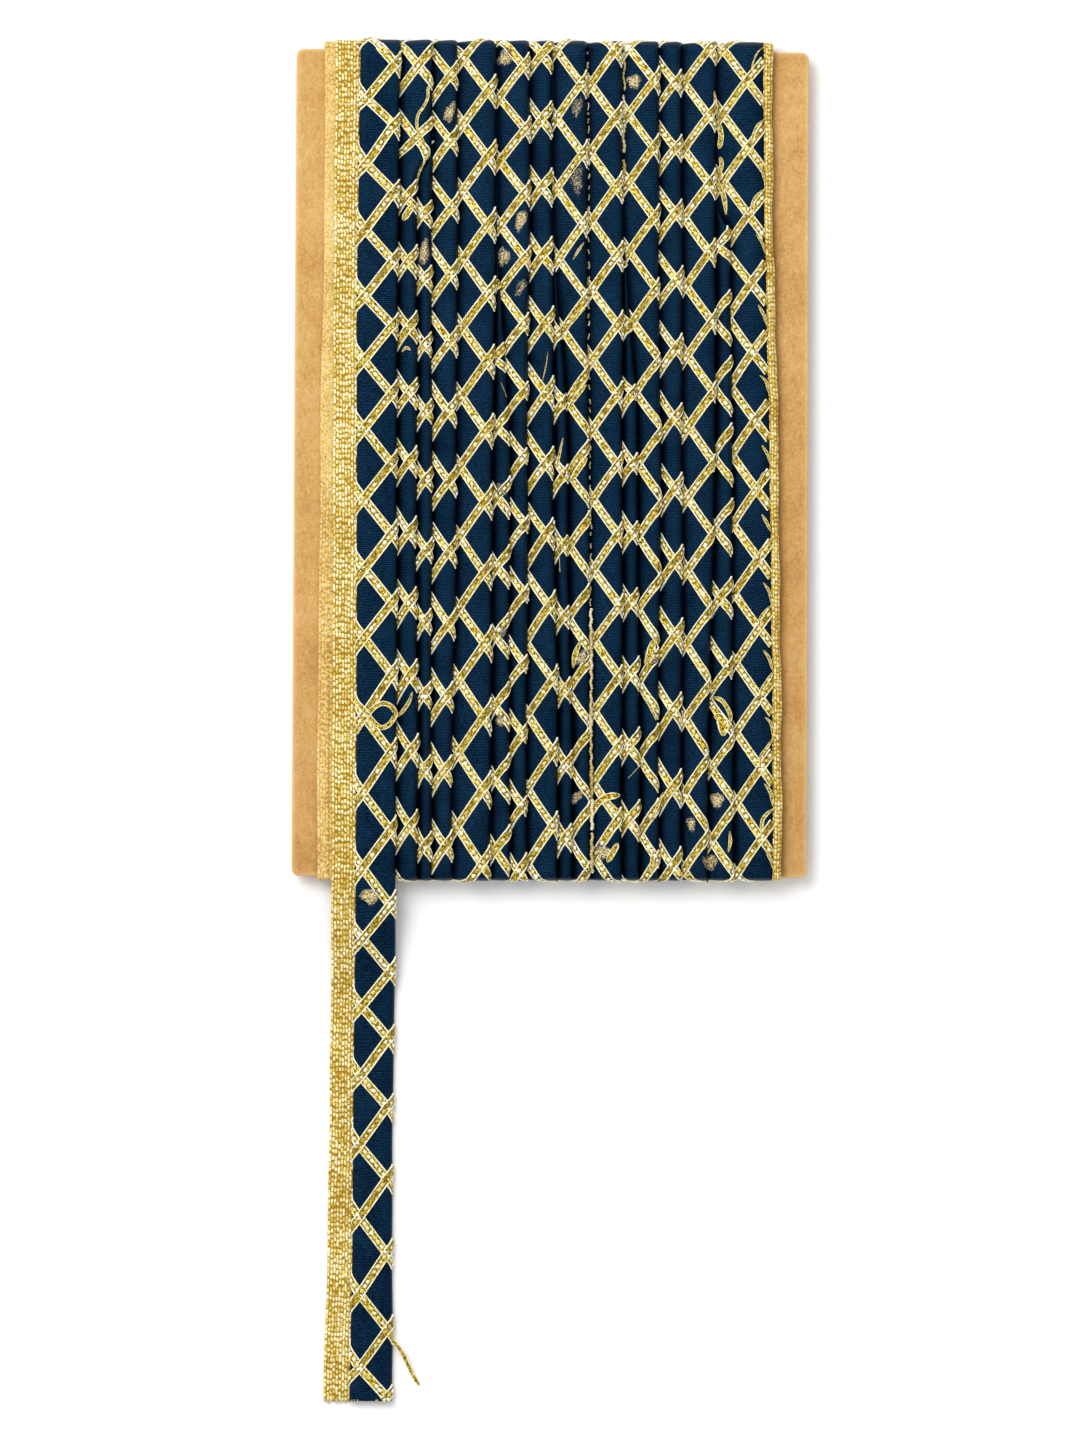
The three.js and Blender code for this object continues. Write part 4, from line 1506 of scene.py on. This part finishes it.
def groove_cords(parts, surface):
    """Glints of gold cord that show in the groove beside the tenth turn, and beside the eleventh."""
    row, until, end = CORD_ROWS
    while row < until:
        kind = THICK_CORD if row > CORD_FROM_ROW else FINE_CORD
        length = rng.uniform(*kind["lengths"])
        rows = np.arange(row, min(row + length, end), CORD_STEP)
        if len(rows) > 2:
            line = beside_edge(CORD_TURN, rows, kind["aside"], CORD_SWING)
            radius = rng.uniform(*kind["radii"])
            heights = np.maximum(evened(surface.heights(line)), kind["height"]) + radius * 0.6
            add_cord(parts, line, heights, lumpy(radius, rows, CORD_LUMPS))
        row += length + rng.uniform(*kind["gaps"])
    for first, last, radius in SHORT_CORDS:
        rows = np.arange(first, last, CORD_STEP)
        line = beside_edge(SHORT_TURN, rows, SHORT_ASIDE, SHORT_SWING)
        heights = surface.heights(line) + radius * 0.5
        add_cord(parts, line, heights, lumpy(radius, rows, SHORT_LUMPS))


# Loops at the rolled edge, as columns and rows of the photo from its foot and from each crossing
UPPER_LOOP = ((-10, -6), (-9, -17), (-4, -26), (3, -32))
LOWER_LOOP = ((-6, 12), (0, 20), (3, 32))
LOOP_WILD, LOOP_TAPER = 3, 0.3
UPPER_WIDTHS, LOWER_WIDTHS, FIRST_SHARE, OTHERS_SHARE = (0.6, 1.5), (0.6, 1.1), 0.45, 0.85


def edge_loops(parts, surface):
    """At each repeat a loose loop runs from the last band up into the rolled edge."""
    turn = TURNS[-1]
    for k in range(REPEATS_BETWEEN + 1):
        row = mix(turn["first"], turn["twelfth"], k / REPEATS_BETWEEN)
        row += turn["bow"] * math.sin(math.pi * k / REPEATS_BETWEEN)
        foot = rope_left(y_of(row)) / MM_PER_PX + ORIGIN_PX[0]
        wild = rng.uniform(-LOOP_WILD, LOOP_WILD, 4)
        path = [(foot + x, row + y + more) for (x, y), more in zip(UPPER_LOOP, wild)]
        width = rng.uniform(*UPPER_WIDTHS) * (FIRST_SHARE if k == 0 else OTHERS_SHARE)
        add_ribbon(parts, surface, path, width, lift=0.1, taper=LOOP_TAPER)
        path = [(foot + x, row + y + more) for (x, y), more in zip(LOWER_LOOP, (0.0, wild[0], wild[2]))]
        add_ribbon(parts, surface, path, rng.uniform(*LOWER_WIDTHS), lift=0.08, taper=LOOP_TAPER)


# The strand that hangs off the loose end, and the lengths of the threads at its cut
STRAND_PX = ((389, 1336), (394, 1343), (401, 1352), (407, 1364), (412, 1375), (419, 1387))
STRAND_HEIGHTS = (4.2, 3.3, 2.0, 1.0, 0.5, 0.3)
STRAND_WIDTH = 1.3
CUT_THREADS, CUT_RADIUS, CUT_START = 46, 0.13, 0.5
CUT_LEAN, CUT_ASTRAY, CUT_SAG, CUT_LOWEST = 0.35, 0.15, 0.8, 0.25
# Threads of the lip and of the folded strip at the cut: how long they are and how high they lie
LIP_CUT = dict(lengths=(0.2, 0.9), heights=(0.4, 2.2))
STRIP_CUT = dict(lengths=(0.1, 0.45), heights=(0.6, 3.4))


def frayed_end(parts):
    """Short threads that stand out of the cut end."""
    left, right = TAIL_LIP_LEFT[0], TAIL_RIGHT[0]
    for x in np.linspace(left + 0.4, right - 0.6, CUT_THREADS):
        kind = LIP_CUT if x < TAIL_SEAM[0] else STRIP_CUT
        length = rng.uniform(*kind["lengths"])
        lean = rng.uniform(-CUT_LEAN, CUT_LEAN)
        start = np.array([x + rng.uniform(-CUT_ASTRAY, CUT_ASTRAY), TAIL_END + CUT_START])
        tip = start + (lean, -CUT_START - length)
        line = np.array([start, start + (lean * 0.4, -CUT_START), tip])
        high = rng.uniform(*kind["heights"])
        heights = np.array([high, high, max(CUT_LOWEST, high - rng.uniform(0, CUT_SAG))])
        add_cord(parts, line, heights, CUT_RADIUS)


def loose_parts(pieces):
    surface = Surface(pieces)
    braid, patches = Parts(), Parts()
    for path, width, taper in STRAY_BRAID:
        add_ribbon(braid, surface, path, width, lift=0.15, taper=taper)
    for path, radius in STRAY_THREADS:
        line = curve_through([photo_point(*p) for p in path], step=0.5)
        add_cord(braid, line, surface.heights(line) + radius, radius)
    groove_cords(braid, surface)
    edge_loops(braid, surface)
    add_ribbon(braid, surface, STRAND_PX, STRAND_WIDTH, taper=0.1, heights=STRAND_HEIGHTS)
    frayed_end(braid)
    for patch in PATCHES:
        add_patch(patches, surface, patch)
    return braid.build("loose_braid", [BRAID], False), patches.build("rubbed_patches", [PATCH], False)


def settle(piece, slot_name, *nodes):
    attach(piece, BODY)
    if nodes:
        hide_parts(*nodes)
    return piece


def build():
    """Winds the strip, and puts every piece on the body."""
    strip = wind_strip()
    phase = strip_phase(strip)
    stations = len(strip.s)
    on_last = strip.turn == 0
    last_start = int(np.flatnonzero(on_last)[0])
    loose_start = int(np.flatnonzero(on_last & (strip.front == 1))[0])
    body = body_piece("wound_strip", strip, 0, last_start)
    last_turn = body_piece("last_turn", strip, last_start, stations)
    settle(body, "navy_satin", "winding")
    settle(last_turn, "navy_satin", "tail_welt")
    wound = trellis("trellis_front", strip, phase, 0, loose_start, (True,))
    wound += trellis("trellis_back", strip, phase, 0, loose_start, (False,))
    for piece in wound:
        settle(piece, "gold_braid")
    loose = trellis("trellis_last", strip, phase, loose_start, stations - 1, (True, False),
                    LAST_BAND_WIDTH)
    settle(loose[0], "gold_braid", "tail_lattice")
    settle(loose[1], "gold_braid")
    lip = woven_lip("last_lip", last_lip_section(), WEAVE, relief=0.34, seed=1.3, steps=(0.244, 0.217))
    back = woven_lip("back_lip", back_lip_section(), WEAVE, relief=0.3, seed=5.3, steps=(0.4, 0.3))
    settle(lip, "gold_weave", "tail_lip")
    settle(back, "gold_weave")
    settle(left_lip("left_lip"), "gold_weave", "under_lip_left")
    rope = settle(right_lip("right_lip"), "gold_weave", "under_lip_right")
    settle(under_wrap(), "navy_satin")
    card = settle(kraft_card(), "kraft_card", "card")
    braid, patches = loose_parts([body, last_turn, lip, rope, card, wound[0], loose[0]])
    settle(braid, "gold_braid")
    settle(patches, "navy_satin")


# Stage
FLOOR_HALF, FLOOR_LEVEL = 2500.0, -0.02
SKY_STRENGTH = 0.72
KEY_PLACE, KEY_SIZE, KEY_POWER = (-0.76, 0.86, 1.38), 1.1, 22.0
LENS, SENSOR, FOCUS_HEIGHT = 220.0, 36.0, 6.0
CLIP_START, CLIP_END = 0.05, 20.0


def make_floor():
    signs = ((-1, -1), (1, -1), (1, 1), (-1, 1))
    corners = [(a * FLOOR_HALF, b * FLOOR_HALF, FLOOR_LEVEL) for a, b in signs]
    material, tree, shader = new_material("floor_white")
    dress(tree, shader, FLOOR_WHITE, roughness=0.9, specular=0.1)
    make_object("floor", corners, [[0, 1, 2, 3]], [material])


def make_lights():
    """A white sky and one soft light from the upper left."""
    scene = bpy.context.scene
    world = bpy.data.worlds.new("studio")
    scene.world = world
    world.use_nodes = True
    background = world.node_tree.nodes["Background"]
    background.inputs["Color"].default_value = (1.0, 1.0, 1.0, 1.0)
    background.inputs["Strength"].default_value = SKY_STRENGTH
    light = bpy.data.lights.new("key", "AREA")
    light.shape = "SQUARE"
    light.size = KEY_SIZE
    light.energy = KEY_POWER
    key = bpy.data.objects.new("key", light)
    key.location = KEY_PLACE
    direction = -key.location.normalized()
    key.rotation_mode = "QUATERNION"
    key.rotation_quaternion = direction.to_track_quat("-Z", "Y")
    scene.collection.objects.link(key)
    scene.view_settings.view_transform = "Standard"
    scene.view_settings.look = "None"


def make_camera():
    """Straight above, with a long lens, over the middle of the photograph."""
    centre = photo_point(IMAGE_PX[0] / 2, IMAGE_PX[1] / 2)
    height = IMAGE_PX[1] * MM_PER_PX * LENS / SENSOR + FOCUS_HEIGHT
    data = bpy.data.cameras.new("camera")
    data.lens = LENS
    data.sensor_width = SENSOR
    data.clip_start = CLIP_START
    data.clip_end = CLIP_END
    camera = bpy.data.objects.new("camera", data)
    camera.location = (centre[0] * MM, centre[1] * MM, height * MM)
    camera.rotation_euler = (0.0, 0.0, 0.0)
    bpy.context.scene.collection.objects.link(camera)
    bpy.context.scene.camera = camera


make_camera()
make_floor()
make_lights()
build()
